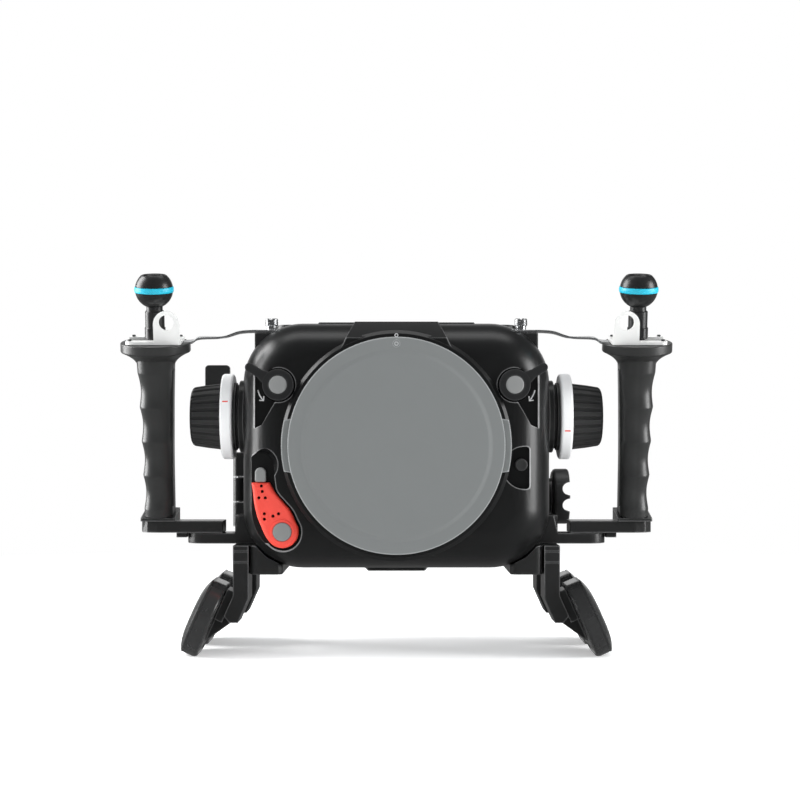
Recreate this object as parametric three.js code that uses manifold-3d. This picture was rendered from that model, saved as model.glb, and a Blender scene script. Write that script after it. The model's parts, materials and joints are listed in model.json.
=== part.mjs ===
// Underwater camera housing with two grips, ball mounts, four feet and a port cap.
// Millimetres. X points right as seen from the front, Y points back, Z points up.
// While it is built, X 0 and Z 0 are the middle of the body and Y 0 is the port face.
import * as THREE from "three";
import { mergeVertices } from "three/addons/utils/BufferGeometryUtils.js";
import Module from "manifold-3d";

const wasm = await Module();
wasm.setup();

// Clearances and cutter reach
const gap = 0.3;
const overrun = 6;

// Body shell
const bodyWidth = 204;
const halfWidth = bodyWidth / 2;
const bodyHeight = 163;
const cornerRadius = 40;
const pillowDepth = 34;
const pillowInset = 26;
const frontPlane = 4;
const partingPlane = 130;
const frontWall = 20;
const sideWall = 10;
const deckWidth = 103;
const deckRise = 0.7;
const deckStart = 34;
const deckEnd = 120;
const deckSlope = 3;

// Port boss, bayonet ring and port cap
const bossRadius = 75;
const bossChamfer = 2.2;
const mouthRadius = 60;
const ringRadius = 66;
const ringDepth = 12;
const ringNotchWidth = 16;
const ringNotchDepth = 2.4;
const ringNotchCount = 3;
const capRadius = 70;
const capThickness = 10.5;
const capEdge = 1.6;
const capFaceRadius = 60.5;
const capFaceRise = 0.9;
const capTabReach = 4.4;
const capTabThickness = 5;
const capTabAngle = 15;
const capTabSlope = 2;
const capPlugDepth = 9;
const capPlugWall = 5;
const capSealWidth = 2.6;
const capSealDepth = 1.8;

// Sloping facet above the port
const facetTopHalf = 27.5;
const facetFootHalf = 41;
const facetTopY = 27;
const facetFootZ = 52;
const facetFrontZ = 70;

// Port lock levers
const lockInset = 25.2;
const lockX = halfWidth - lockInset;
const lockZ = 39.5;
const lockHubRadius = 10.2;
const lockCapRadius = 5.8;
const lockCapRise = 0.7;
const lockCapSeat = 2;
const lockFront = -1;
const lockThickness = 6;
const lockStemRadius = 3.5;
const lockStemLength = 9;
const lockArmReach = 24.5;
const lockArmWidth = 5.8;
const lockArmAngle = 31.5;
const lockSeatMargin = 1;
const lockPocketMargin = 9.4;
const lockPocketEdge = halfWidth - lockPocketMargin;
const lockPocketTop = 46.4;
const lockPocketFoot = 11.5;
const lockPocketFloor = 15;
const lockArmThickness = 3.3;

// The lock pocket's slanting lower edge: shares of the way in to the pivot and up to its height
const lockPocketShares = [[0.85, 0.6], [0.6, 0.36], [0.3, 0.07]];

// Record lever and its recess
const recordInset = 27.7;
const recordX = halfWidth - recordInset;
const recordZ = 56.1;
const recordLobe = 10.7;
const recordThickness = 8;
const recordFront = 5;
const recordTopWidth = 11.6;
const recordTopRise = 32.1;
const recordTopShift = 14.3;
const recordCollarRadius = 8.6;
const recordCollarRise = 1;
const recordCapRadius = 6;
const recordCapSeat = 2;
const recordStemRadius = 4;
const recordTipWidth = 7.2;
const recordTipRise = 9.8;
const recordTipThickness = 6;
const recordFloorGap = 2;
const recordRim = 1.9;
const recordArchRadius = 10.8;
const recordArchRise = 43.6;
const recordLobeFrom = 225;
const recordLobeTo = 395;

// The lever's two edges: shares of the way in to the lobe's edge and of the height
const recordOuterShares = [[0.1, 0.79], [0.19, 0.57], [0.37, 0.33], [0.65, 0.11], [0.98, -0.1]];
const recordInnerShares = [[0.71, 0.44], [0.44, 0.63], [0.21, 0.79]];

// Where the recess opens to the side below the pivot, as shares of the lobe's radius
const recordOpenShares = [0.55, 0.8, 0.75];

// Lens release button and its pocket
const lensButtonInset = 20.8;
const lensButtonX = halfWidth - lensButtonInset;
const lensButtonZ = 12.4;
const lensButtonRadius = 4;
const lensButtonHeight = 6;
const lensStemRadius = 2.2;
const lensPocketRadius = 13.8;
const lensPocketShift = 2.1;
const lensPocketDrop = 2;
const lensPocketReach = 3.4;
const lensPocketCorner = 2;
const lensPocketFloor = 12;

// Side knobs
const knobY = 60;
const knobZ = 19.7;
const knobBaseRadius = 24.5;
const knobBaseThickness = 5.6;
const knobGripRadius = 22.9;
const knobTipRadius = 20;
const knobReach = 36.9;
const knobGripEnd = halfWidth + knobReach;
const knobEdge = 2.6;
const knobRibDepth = 0.7;
const knobRibCount = 24;
const knobRingRadius = 29;
const knobRingWidth = 8.1;
const knobRingEdge = 1.8;
const knobRingStandoff = 2;
const knobShaftRadius = 5.5;
const knobShaftInside = 14;
const knobGearRadius = 11;
const knobGearWidth = 7;
const knobGearTeeth = 16;
const knobToothDepth = 1.8;

// Thumb paddle behind the left knob
const paddleReach = 32.3;
const paddleOuter = halfWidth + paddleReach;
const paddleStandoff = 15;
const paddleInner = halfWidth + paddleStandoff;
const paddleTop = 56.3;
const paddleFoot = 12;
const paddleY = 98;
const paddleThickness = 5;
const paddlePivotZ = 12;
const paddleBossRadius = 8;
const paddleShaftRadius = 4;
const paddleCorner = 2.6;

// Rotary latch of the rear door
const latchY = 116;
const latchZ = 36.3;
const latchRadius = 19.6;
const latchBossRadius = 13;
const latchBossHeight = 8;
const latchFoot = 2.4;
const latchThickness = 11.8;
const latchWellDepth = 8.5;
const latchWellWidth = 12;
const latchFinThickness = 2.2;
const latchStemRadius = 4;
const latchStemLength = 9;

// Rear door, hinge and rear controls
const doorDepth = 30;
const doorPillow = 9;
const doorWall = 8;
const hingeStandoff = 11;
const hingeX = halfWidth + hingeStandoff;
const hingePinRadius = 2;
const hingeKnuckleRadius = 4.4;
const hingeTop = -5;
const hingeFoot = -58.5;
const hingeArmDepth = 9;
const knuckleCount = 3;
const sealWidth = 3;
const sealDepth = 2.6;
const windowWidth = 122;
const windowHeight = 84;
const windowX = 20;
const windowCorner = 6;
const windowLedge = 4;
const windowThickness = 4;
const windowSink = 0.8;
const rearButtonInset = 28;
const rearButtonX = rearButtonInset - halfWidth;
const rearButtonRadius = 4.5;
const rearButtonRise = 3.5;
const rearButtonStem = 2.2;
const rearButtonPitch = 15;
const rearButtonTopZ = 53;
const rearButtonCount = 3;
const rearDialRadius = 14;
const rearDialRise = 5;
const rearDialShaft = 3;
const rearDialZ = -6;
const rearDialNotches = 20;
const rearDialNotchDepth = 0.8;

// Camera tray and base plate
const trayWidth = 112;
const trayDepth = 76;
const trayThickness = 5;
const trayFrontY = 38;
const trayRailHeight = 4;
const trayRailWidth = 12;
const trayCorner = 6;
const basePlateHalf = 19;
const basePlateDrop = 2.6;
const basePlateSlope = 2.6;
const basePlateFront = 46;
const basePlateLength = 66;

// Bulkhead plugs on the shoulders
const plugInset = 30;
const plugX = halfWidth - plugInset;
const plugY = 62;
const plugRadius = 9.5;
const plugTop = 81.9;
const plugRoot = 12;
const plugRootRadius = 7;
const plugEdge = 1.4;

// Stay posts and stays
const postInset = 18.5;
const postX = halfWidth - postInset;
const postWidth = 22;
const postDepth = 15;
const postTop = 75.4;
const postRoot = 24;
const postSeatWall = 3.5;
const postCorner = 1.4;
const stayY = 41;
const stayWidth = 12;
const stayThickness = 1.6;
const stayMidRise = -4.2;

// Where the stay bends on its way from the grip's flange to the post, as shares
const stayBendShares = [0.112, 0.509, 0.79];

// How much of the handle's tilt the stay keeps at its two bends
const outerRollShare = 0.7;
const innerRollShare = 0.3;

// Thumb screws
const thumbHeadRadius = 4.2;
const thumbCollarRadius = 3.4;
const thumbHeadHeight = 5;
const thumbNeckRadius = 2.6;
const thumbNeckHeight = 2.4;
const thumbStudLength = 5.5;

// Handles
const handleReach = 58.6;
const handleX = halfWidth + handleReach;
const handleY = 60;
const handleTilt = 12;
const armTop = -50.8;
const upperArmThickness = 8;
const upperArmStandoff = 15;
const upperArmInner = halfWidth + upperArmStandoff;
const upperArmOverhang = 12.8;
const armWidth = 25;
const armStopLength = 7.1;
const armStopDrop = 3.4;
const armStopWidth = 15;
const lowerArmThickness = 7;
const lowerArmReach = 39.6;
const lowerArmOuter = halfWidth + lowerArmReach;
const lowerArmInset = 16;
const lowerArmInner = halfWidth - lowerArmInset;
const lowerArmNose = 7.5;
const lowerArmTipWidth = 10;
const flangeRiser = 12;
const flangeReach = 7;
const flangeOuter = halfWidth + flangeReach;
const gripBaseWidth = 23.3;
const gripBaseDepth = 30;
const gripBaseHeight = 5;
const gripFootWidth = 19.2;
const gripHeadWidth = 24.8;
const gripDepth = 31;
const gripLength = 106.4;
const gripGrooveDepth = 1.5;
const gripGrooves = 4;
const gripRingCount = 12;

// The grip's corner radius as a share of its half width
const gripCornerShare = 0.92;

// Flange on top of the grip
const gripFlangeRadius = 23.3;
const gripFlangeThickness = 6.4;
const gripFlangeCone = 4.4;
const gripPocketDepth = 2.4;
// Top plate with its slot and ear
const topPlateWidth = 36.7;
const topPlateDepth = 30;
const topPlateThickness = 2;
const topPlateCorner = 4;
const topSlotWidth = 14.4;
const topSlotInner = 9;
const earShift = 9.3;
const earWidth = 17.4;
const earHeight = 20.5;
const earHoleRadius = 5;
const earHoleRise = 12.8;

// Ball mounts
const ballRadius = 12.6;
const ballRise = 33;
const ballFlat = 9.7;
const ballDishRadius = 7.3;
const ballDishDepth = 1.6;
const ballNeckRadius = 5.4;
const ballCollarRadius = 6.4;
const ballCollarLength = 11;
const ballFootRadius = 6.9;
const ballFootLength = 7.5;
const ballStudRadius = 5;
const ballStudLength = 8;
const ballRingWidth = 4.2;
const ballRingDepth = 2.4;
const ballRingProud = 0.5;

// Side rails and legs
const railInset = 4.2;
const railWidth = 22.3;
const railOuter = halfWidth - railInset;
const railInner = railOuter - railWidth;
const railFoot = -85.7;
const railFront = 28;
const railLength = 100;
const railNose = 6;
const legThickness = 10.4;
const legWidth = 30;
const legPitch = 70;
const legKink = -99.6;
const legFoot = -117.5;
const legSplay = 24;
const legHubRadius = 11;
const gussetThickness = 6;
const gussetReach = 17;

// Where the hub sits on the slanting strut, and where the strut's foot breaks, as shares
const legHubShare = 0.45;
const legBreakShare = 0.6;
const gussetRootShare = 0.4;

// Foot pads, with a crowned outer face
const padStandoff = 5.2;
const padThickness = 14.5;
const padHeight = 52;
const padSeam = 0.6;
const padCorner = 24;
const padEdge = 2;
const padCrown = 3.5;
const padCentreDrop = -114.29;
const padFlat = 0.8;

// Steps up the pad's crown: shares of the half height drawn in and of the crown's rise
const padCrownShares = [[0, 0], [0.12, 0.45], [0.3, 0.8], [0.55, 1]];

// Facets of round pieces
const fineSides = 40;
const roundSides = 20;
const smallSides = 10;
const cornerSteps = 5;
const smallSteps = 3;
const pillowSteps = 5;
const ballSteps = 4;

// Weld distance for shared vertices
const weldReach = 0.0005;

// Basic maths

const degrees = (angle) => THREE.MathUtils.degToRad(angle);
const mix = (from, to, share) => from + (to - from) * share;

// Closed geometry and solids

function welded(geometry) {
  const bare = geometry.clone();
  for (const name of Object.keys(bare.attributes)) {
    if (name !== "position") bare.deleteAttribute(name);
  }
  const merged = mergeVertices(bare, weldReach);
  const corners = merged.index.array;
  const kept = [];
  for (let i = 0; i < corners.length; i += 3) {
    const [a, b, c] = [corners[i], corners[i + 1], corners[i + 2]];
    if (a !== b && b !== c && c !== a) kept.push(a, b, c);
  }
  merged.setIndex(kept);
  if (signedVolume(merged) < 0) {
    merged.setIndex(flipped(kept));
  }
  return merged;
}

function flipped(corners) {
  const turned = [];
  for (let i = 0; i < corners.length; i += 3) {
    turned.push(corners[i], corners[i + 2], corners[i + 1]);
  }
  return turned;
}

function signedVolume(geometry) {
  const place = geometry.attributes.position;
  const corners = geometry.index.array;
  const [a, b, c] = [new THREE.Vector3(), new THREE.Vector3(), new THREE.Vector3()];
  let sum = 0;
  for (let i = 0; i < corners.length; i += 3) {
    a.fromBufferAttribute(place, corners[i]);
    b.fromBufferAttribute(place, corners[i + 1]);
    c.fromBufferAttribute(place, corners[i + 2]);
    sum += a.dot(b.cross(c));
  }
  return sum;
}

function solidOf(geometry) {
  const closed = welded(geometry);
  const vertProperties = new Float32Array(closed.attributes.position.array);
  const triVerts = new Uint32Array(closed.index.array);
  return new wasm.Manifold(new wasm.Mesh({ numProp: 3, vertProperties, triVerts }));
}

function geometryOf(solid) {
  const mesh = solid.getMesh();
  const geometry = new THREE.BufferGeometry();
  geometry.setAttribute("position", new THREE.Float32BufferAttribute(mesh.vertProperties, 3));
  geometry.setIndex(Array.from(mesh.triVerts));
  return geometry;
}

function join(...pieces) {
  return geometryOf(pieces.map(solidOf).reduce((sum, piece) => sum.add(piece)));
}

function cut(piece, ...tools) {
  return geometryOf(tools.map(solidOf).reduce((rest, tool) => rest.subtract(tool), solidOf(piece)));
}

function common(piece, other) {
  return geometryOf(solidOf(piece).intersect(solidOf(other)));
}

// Outlines as lists of [across, up] points

function roundedOutline(halfWidth, halfHeight, radius, steps = cornerSteps) {
  const points = [];
  const corners = [[1, 1], [-1, 1], [-1, -1], [1, -1]];
  corners.forEach(([sideX, sideY], quarter) => {
    for (let step = 0; step <= steps; step += 1) {
      const angle = (quarter + step / steps) * (Math.PI / 2);
      const x = sideX * (halfWidth - radius) + radius * Math.cos(angle);
      const y = sideY * (halfHeight - radius) + radius * Math.sin(angle);
      points.push([x, y]);
    }
  });
  return points;
}

function arcPoints(x, y, radius, from, to, steps) {
  const points = [];
  for (let step = 0; step <= steps; step += 1) {
    const angle = degrees(mix(from, to, step / steps));
    points.push([x + radius * Math.cos(angle), y + radius * Math.sin(angle)]);
  }
  return points;
}

function circleOutline(radius, sides, x = 0, y = 0) {
  return arcPoints(x, y, radius, 0, 360, sides).slice(0, sides);
}

// Where a tooth starts, ends and reaches its root, as shares of its pitch and its depth
const toothShares = [[0, 0], [0.45, 0], [0.72, 1]];

function toothedOutline(radius, depth, teeth) {
  const points = [];
  for (let tooth = 0; tooth < teeth; tooth += 1) {
    for (const [share, reach] of toothShares) {
      const angle = ((tooth + share) / teeth) * Math.PI * 2;
      const r = radius - depth * reach;
      points.push([r * Math.cos(angle), r * Math.sin(angle)]);
    }
  }
  return points;
}

function movedOutline(points, x, y) {
  return points.map(([u, v]) => [u + x, v + y]);
}

// Prisms, turned shapes and lofts

function prism(outline, depth, holes = []) {
  const shape = new THREE.Shape(outline.map(([x, y]) => new THREE.Vector2(x, y)));
  for (const hole of holes) {
    shape.holes.push(new THREE.Path(hole.map(([x, y]) => new THREE.Vector2(x, y))));
  }
  return new THREE.ExtrudeGeometry(shape, { depth, bevelEnabled: false, steps: 1 });
}

// An outline in X and Z, pushed from a front plane to a back plane
function frontPrism(outline, front, back, holes = []) {
  return prism(outline, back - front, holes).rotateX(Math.PI / 2).translate(0, back, 0);
}

// An outline in X and Y, raised from one level to another
function planPrism(outline, low, high, holes = []) {
  return prism(outline, high - low, holes).translate(0, 0, low);
}

// An outline in Y and Z, pushed sideways from one X to another
function sidePrism(outline, near, far, holes = []) {
  const turn = new THREE.Matrix4().set(0, 0, 1, 0, 1, 0, 0, 0, 0, 1, 0, 0, 0, 0, 0, 1);
  return prism(outline, far - near, holes).applyMatrix4(turn).translate(near, 0, 0);
}

// A profile of [radius, height] points turned about an axis
function turned(profile, axis, sides = roundSides) {
  const points = profile.map(([radius, height]) => new THREE.Vector2(radius, height));
  const geometry = new THREE.LatheGeometry(points, sides);
  if (axis === "z") return geometry.rotateX(Math.PI / 2);
  if (axis === "x") return geometry.rotateZ(-Math.PI / 2);
  return geometry;
}

function rod(radius, from, to, axis, sides = roundSides) {
  return turned([[0, from], [radius, from], [radius, to], [0, to]], axis, sides);
}

function tube(outer, inner, from, to, axis, sides = roundSides) {
  const profile = [[inner, from], [outer, from], [outer, to], [inner, to], [inner, from]];
  return turned(profile, axis, sides);
}

// A closed skin through rings of equal point counts, with a fan on each end
function loft(rings) {
  const count = rings[0].length;
  const points = rings.flat();
  const corners = [];
  for (let ring = 0; ring < rings.length - 1; ring += 1) {
    for (let i = 0; i < count; i += 1) {
      const [a, b] = [ring * count + i, ring * count + ((i + 1) % count)];
      corners.push(a, b, b + count, a, b + count, a + count);
    }
  }
  for (const [ring, order] of [[0, -1], [rings.length - 1, 1]]) {
    const middle = new THREE.Vector3();
    rings[ring].forEach((point) => middle.addScaledVector(point, 1 / count));
    points.push(middle);
    for (let i = 0; i < count; i += 1) {
      const [a, b] = [ring * count + i, ring * count + ((i + 1) % count)];
      corners.push(points.length - 1, order > 0 ? a : b, order > 0 ? b : a);
    }
  }
  const geometry = new THREE.BufferGeometry();
  const flat = points.flatMap((point) => point.toArray());
  geometry.setAttribute("position", new THREE.Float32BufferAttribute(flat, 3));
  geometry.setIndex(corners);
  return geometry;
}

// Materials

function finish(color, roughness, metalness) {
  return new THREE.MeshStandardMaterial({ color, roughness, metalness });
}

const blackAnodised = finish(0x141516, 0.38, 0.6);
const darkAnodised = finish(0x2a2b2c, 0.5, 0.5);
const innerMetal = finish(0x3a3c3e, 0.45, 0.7);
const blackRubber = finish(0x1b1b1c, 0.8, 0);
const blackPlastic = finish(0x1a1a1b, 0.5, 0);
const greyPlastic = finish(0x8d9391, 0.55, 0);
const whitePlastic = finish(0xeeefef, 0.4, 0);
const redPlastic = finish(0xe0392f, 0.45, 0);
const bareSteel = finish(0xc9cbcc, 0.28, 1);
const blueRubber = finish(0x1fb6dd, 0.45, 0);
const clearWindow = finish(0x9fb0b4, 0.08, 0);

const housing = new THREE.Group();

function add(group, name, geometry, material) {
  const mesh = new THREE.Mesh(welded(geometry), material);
  mesh.geometry.computeVertexNormals();
  mesh.name = name;
  group.add(mesh);
  return mesh;
}

// Body outline and the space it takes up

const halfHeight = bodyHeight / 2;
const cavityFront = frontPlane + frontWall;
const doorBack = partingPlane + doorDepth;

function bodyRing(inset, y) {
  const radius = cornerRadius - inset;
  const outline = roundedOutline(halfWidth - inset, halfHeight - inset, radius);
  return outline.map(([x, z]) => new THREE.Vector3(x, y, z));
}

function pillowRings(depth, inset, edgeY, direction) {
  const rings = [];
  for (let step = 0; step <= pillowSteps; step += 1) {
    const angle = (step / pillowSteps) * (Math.PI / 2);
    const y = edgeY + direction * depth * (1 - Math.cos(angle));
    rings.push(bodyRing(inset * (1 - Math.sin(angle)), y));
  }
  return rings;
}

function bodyEnvelope(margin) {
  const outline = roundedOutline(halfWidth + margin, halfHeight + margin, cornerRadius + margin);
  return frontPrism(outline, frontPlane - overrun, doorBack + overrun);
}

function cavityOutline(wall) {
  return roundedOutline(halfWidth - wall, halfHeight - wall, cornerRadius - wall);
}

// Front shell

function portBoss() {
  const back = frontPlane + frontWall;
  const profile = [
    [0, 0],
    [bossRadius - bossChamfer, 0],
    [bossRadius, bossChamfer],
    [bossRadius, back],
    [0, back],
  ];
  return turned(profile, "y", fineSides);
}

function portFacet() {
  const top = halfHeight + deckRise;
  const frontView = [
    [-facetTopHalf, top],
    [-facetFootHalf, facetFootZ],
    [facetFootHalf, facetFootZ],
    [facetTopHalf, top],
  ];
  const sideView = [
    [gap, facetFootZ],
    [facetTopY + overrun, facetFootZ],
    [facetTopY + overrun, top],
    [facetTopY, top],
    [gap, facetFrontZ],
  ];
  return common(
    frontPrism(frontView, 0, facetTopY + overrun),
    sidePrism(sideView, -facetFootHalf, facetFootHalf),
  );
}

function topDeck() {
  const half = deckWidth / 2;
  const root = halfHeight - deckSlope;
  const top = halfHeight + deckRise;
  const outline = [
    [-half - deckSlope, root],
    [half + deckSlope, root],
    [half, top],
    [-half, top],
  ];
  return frontPrism(outline, deckStart, deckEnd);
}

function lockPocket(side) {
  const hub = lockHubRadius + lockSeatMargin;
  const slant = lockPocketShares.map(([inward, upward]) => {
    return [mix(lockPocketEdge, lockX, inward), mix(lockPocketFoot, lockZ, upward)];
  });
  const outline = [
    [lockPocketEdge, lockPocketFoot],
    [lockPocketEdge, lockPocketTop],
    [lockX, lockZ + hub / 2],
    [lockX - hub / 2, lockZ - hub / 2],
    ...slant,
  ].map(([x, z]) => [side * x, z]);
  return frontPrism(outline, lockFront - overrun, lockPocketFloor);
}

function lockSeat(side) {
  const seat = rod(lockHubRadius + lockSeatMargin, lockFront - overrun, lockFloor, "y");
  const boreEnd = lockFloor + lockStemLength + gap;
  const bore = rod(lockStemRadius + gap, lockFront, boreEnd, "y", smallSides);
  return [seat.translate(side * lockX, 0, lockZ), bore.translate(side * lockX, 0, lockZ)];
}

const lockFloor = lockFront + lockThickness + gap;
const recordBack = recordFront + recordThickness;
const recordFloor = recordBack + recordFloorGap;

// Outline of the lever about its pivot: a round lobe drawn out to a square top
function recordOutline(margin) {
  const left = -recordTopShift - recordTopWidth / 2 - margin;
  const right = -recordTopShift + recordTopWidth / 2 + margin;
  const top = recordTopRise + margin;
  const lobe = recordLobe + margin;
  return [
    [left, top],
    ...recordOuterShares.map(([inward, up]) => [mix(left, -lobe, inward), recordTopRise * up]),
    ...arcPoints(0, 0, lobe, recordLobeFrom, recordLobeTo, 2 * smallSides),
    ...recordInnerShares.map(([inward, up]) => [mix(right, lobe, inward), recordTopRise * up]),
    [right, top],
  ];
}

function recordRecess() {
  const reach = halfWidth + overrun - recordX;
  const [edgeShare, acrossShare, downShare] = recordOpenShares;
  const open = [
    [-reach, recordArchRise],
    [-reach, -recordLobe * edgeShare],
    [-recordLobe * acrossShare, -recordLobe * downShare],
    [0, 0],
    [-recordTopShift + recordArchRadius, recordArchRise],
  ];
  const arch = rod(recordArchRadius, lockFront - overrun, recordFloor, "y");
  const cutters = [
    frontPrism(recordOutline(recordRim), lockFront - overrun, recordFloor),
    frontPrism(open, lockFront - overrun, recordFloor),
    arch.translate(-recordTopShift, 0, recordArchRise),
    rod(recordStemRadius + gap, recordFront, cavityFront + overrun, "y", smallSides),
  ];
  return cutters.map((cutter) => cutter.translate(-recordX, 0, -recordZ));
}

// A round pocket with one straight side, which ends at the port boss
function lensPocket() {
  const radius = lensPocketRadius;
  const cornerX = lensPocketReach - lensPocketCorner;
  const cornerZ = radius - lensPocketCorner;
  const outline = [
    ...arcPoints(0, 0, radius, 90, 270, fineSides / 2),
    ...arcPoints(cornerX, -cornerZ, lensPocketCorner, 270, 360, smallSteps),
    ...arcPoints(cornerX, cornerZ, lensPocketCorner, 0, 90, smallSteps),
  ];
  const pocket = frontPrism(outline, lockFront - overrun, lensPocketFloor);
  const bore = rod(lensStemRadius + gap, frontPlane, cavityFront + overrun, "y", smallSides);
  const wall = rod(bossRadius, lockFront - 2 * overrun, lensPocketFloor + overrun, "y", fineSides);
  const place = [lensButtonX + lensPocketShift, 0, -lensButtonZ - lensPocketDrop];
  return [cut(pocket.translate(...place), wall), bore.translate(lensButtonX, 0, -lensButtonZ)];
}

function shaftBore(x, radius, y, z) {
  const inside = halfWidth - sideWall - overrun;
  const bore = rod(radius + gap, inside, halfWidth + overrun, "x", smallSides);
  return bore.scale(x, 1, 1).translate(0, y, z);
}

const hingeSpan = (hingeTop - hingeFoot) / knuckleCount;

// One hinge knuckle with the arm that ties it to its wall
function hingeKnuckle(part, direction) {
  const low = hingeFoot + hingeSpan * part + (part > 0 ? gap / 2 : 0);
  const high = hingeFoot + hingeSpan * (part + 1) - (part < knuckleCount - 1 ? gap / 2 : 0);
  const root = hingeX - halfWidth + sideWall / 2;
  const near = direction > 0 ? gap : 0;
  const outline = [
    [0, -direction * near],
    [root, direction * near],
    [root, direction * hingeArmDepth],
    [0, direction * hingeKnuckleRadius],
  ];
  const arm = planPrism(outline, low, high);
  const barrel = rod(hingeKnuckleRadius, low, high, "z", smallSides);
  return join(arm, barrel).translate(-hingeX, partingPlane, 0);
}

function hingeBore() {
  const bore = rod(hingePinRadius + gap, hingeFoot - overrun, hingeTop + overrun, "z", smallSides);
  return bore.translate(-hingeX, partingPlane, 0);
}

const latchInner = halfWidth + latchBossHeight + gap;
const latchStemEnd = latchInner - latchStemLength;

function latchBoss() {
  const reach = halfWidth + latchBossHeight;
  return rod(latchBossRadius, halfWidth - sideWall / 2, reach, "x").translate(0, latchY, -latchZ);
}

function paddleBoss() {
  const reach = paddleInner - gap;
  const boss = tube(paddleBossRadius, paddleShaftRadius + gap, halfWidth - sideWall / 2, reach, "x");
  return boss.translate(0, paddleY + paddleThickness, paddlePivotZ).scale(-1, 1, 1);
}

function sealGroove() {
  const middle = sideWall / 2;
  const outline = cavityOutline(middle - sealWidth / 2 - gap);
  const inner = cavityOutline(middle + sealWidth / 2 + gap);
  return frontPrism(outline, partingPlane - sealDepth - gap, partingPlane + overrun, [inner]);
}

function postSeat(side) {
  const outline = roundedOutline(postWidth / 2 + gap, postDepth / 2 + gap, postCorner, smallSteps);
  const block = planPrism(outline, postTop - postRoot, halfHeight + deckRise + overrun);
  return cut(block.translate(side * postX, stayY, 0), postFloor(0));
}

// What stays of the shoulder under the posts: the wall is never cut through there
function postFloor(margin) {
  return frontPrism(cavityOutline(sideWall - postSeatWall - margin), 0, partingPlane);
}

function plugSeat(side) {
  const low = plugTop - plugEdge - plugRoot;
  const head = rod(plugRadius + gap, plugTop - 2 * plugEdge - 2 * gap, plugTop + overrun, "z");
  const root = rod(plugRootRadius + gap, low - overrun, plugTop, "z");
  return [head.translate(side * plugX, plugY, 0), root.translate(side * plugX, plugY, 0)];
}

function frontShell() {
  const front = pillowRings(pillowDepth, pillowInset, frontPlane, 1);
  const latchReach = halfWidth + latchBossHeight + overrun;
  const latchBore = rod(latchStemRadius + gap, latchStemEnd - gap, latchReach, "x", smallSides);
  const blank = join(
    loft([...front, bodyRing(0, partingPlane)]),
    portBoss(),
    portFacet(),
    topDeck(),
    hingeKnuckle(0, -1),
    hingeKnuckle(knuckleCount - 1, -1),
    latchBoss(),
    paddleBoss(),
  );
  const cutters = [
    frontPrism(cavityOutline(sideWall), cavityFront, partingPlane + overrun),
    rod(mouthRadius, -overrun, cavityFront + overrun, "y", fineSides),
    rod(ringRadius + gap, -overrun, ringDepth + gap, "y", fineSides),
    ...recordRecess(),
    ...lensPocket(),
    sealGroove(),
    hingeBore(),
    shaftBore(-1, paddleShaftRadius, paddleY + paddleThickness, paddlePivotZ),
    latchBore.translate(0, latchY, -latchZ),
  ];
  for (const side of [-1, 1]) {
    cutters.push(lockPocket(side), ...lockSeat(side), ...plugSeat(side), postSeat(side));
    cutters.push(shaftBore(side, knobShaftRadius, knobY, knobZ));
  }
  return cut(blank, ...cutters);
}

add(housing, "front_shell", frontShell(), blackAnodised);

// Port ring with bayonet notches

function portRing() {
  const ring = tube(ringRadius, mouthRadius, gap, ringDepth, "y", fineSides);
  const notches = [];
  for (let i = 0; i < ringNotchCount; i += 1) {
    const reach = mouthRadius + ringNotchDepth;
    const slot = new THREE.BoxGeometry(ringNotchWidth, ringDepth, reach);
    slot.translate(0, ringDepth / 2 - overrun / 2, reach / 2);
    notches.push(slot.rotateY((i / ringNotchCount) * Math.PI * 2));
  }
  return cut(ring, ...notches);
}

add(housing, "port_ring", portRing(), innerMetal);

// Port cap with two finger tabs, and the seal round its plug

const capPlugRadius = mouthRadius - gap;
const capBack = -gap;
const capFront = capBack - capThickness;
const capSealY = capPlugDepth / 2;

function capTab(side) {
  const inner = capRadius - capEdge;
  const outer = capRadius + capTabReach;
  const outline = [
    ...arcPoints(0, 0, outer, -capTabAngle + capTabSlope, capTabAngle - capTabSlope, smallSides / 2),
    ...arcPoints(0, 0, inner, capTabAngle, -capTabAngle, smallSides / 2),
  ].map(([x, z]) => [side * x, z]);
  return frontPrism(outline, capBack - capTabThickness, capBack);
}

function portCap() {
  const innerPlug = capPlugRadius - capPlugWall;
  const grooveLow = capSealY - capSealWidth / 2 - gap;
  const grooveHigh = capSealY + capSealWidth / 2 + gap;
  const grooveRadius = capPlugRadius - capSealDepth - gap;
  const profile = [
    [0, capFront - capFaceRise],
    [capFaceRadius, capFront - capFaceRise],
    [capFaceRadius + capFaceRise, capFront],
    [capRadius - capEdge, capFront],
    [capRadius, capFront + capEdge],
    [capRadius, capBack],
    [capPlugRadius, capBack],
    [capPlugRadius, grooveLow],
    [grooveRadius, grooveLow],
    [grooveRadius, grooveHigh],
    [capPlugRadius, grooveHigh],
    [capPlugRadius, capPlugDepth],
    [innerPlug, capPlugDepth],
    [innerPlug, capBack - capPlugWall / 2],
    [0, capBack - capPlugWall / 2],
  ];
  return join(turned(profile, "y", fineSides), capTab(-1), capTab(1));
}

function capSeal() {
  const low = capSealY - capSealWidth / 2;
  return tube(capPlugRadius, capPlugRadius - capSealDepth, low, low + capSealWidth, "y", fineSides);
}

add(housing, "port_cap", portCap(), greyPlastic);
add(housing, "cap_seal", capSeal(), blackRubber);

// Port lock levers, one on each side of the port

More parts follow.
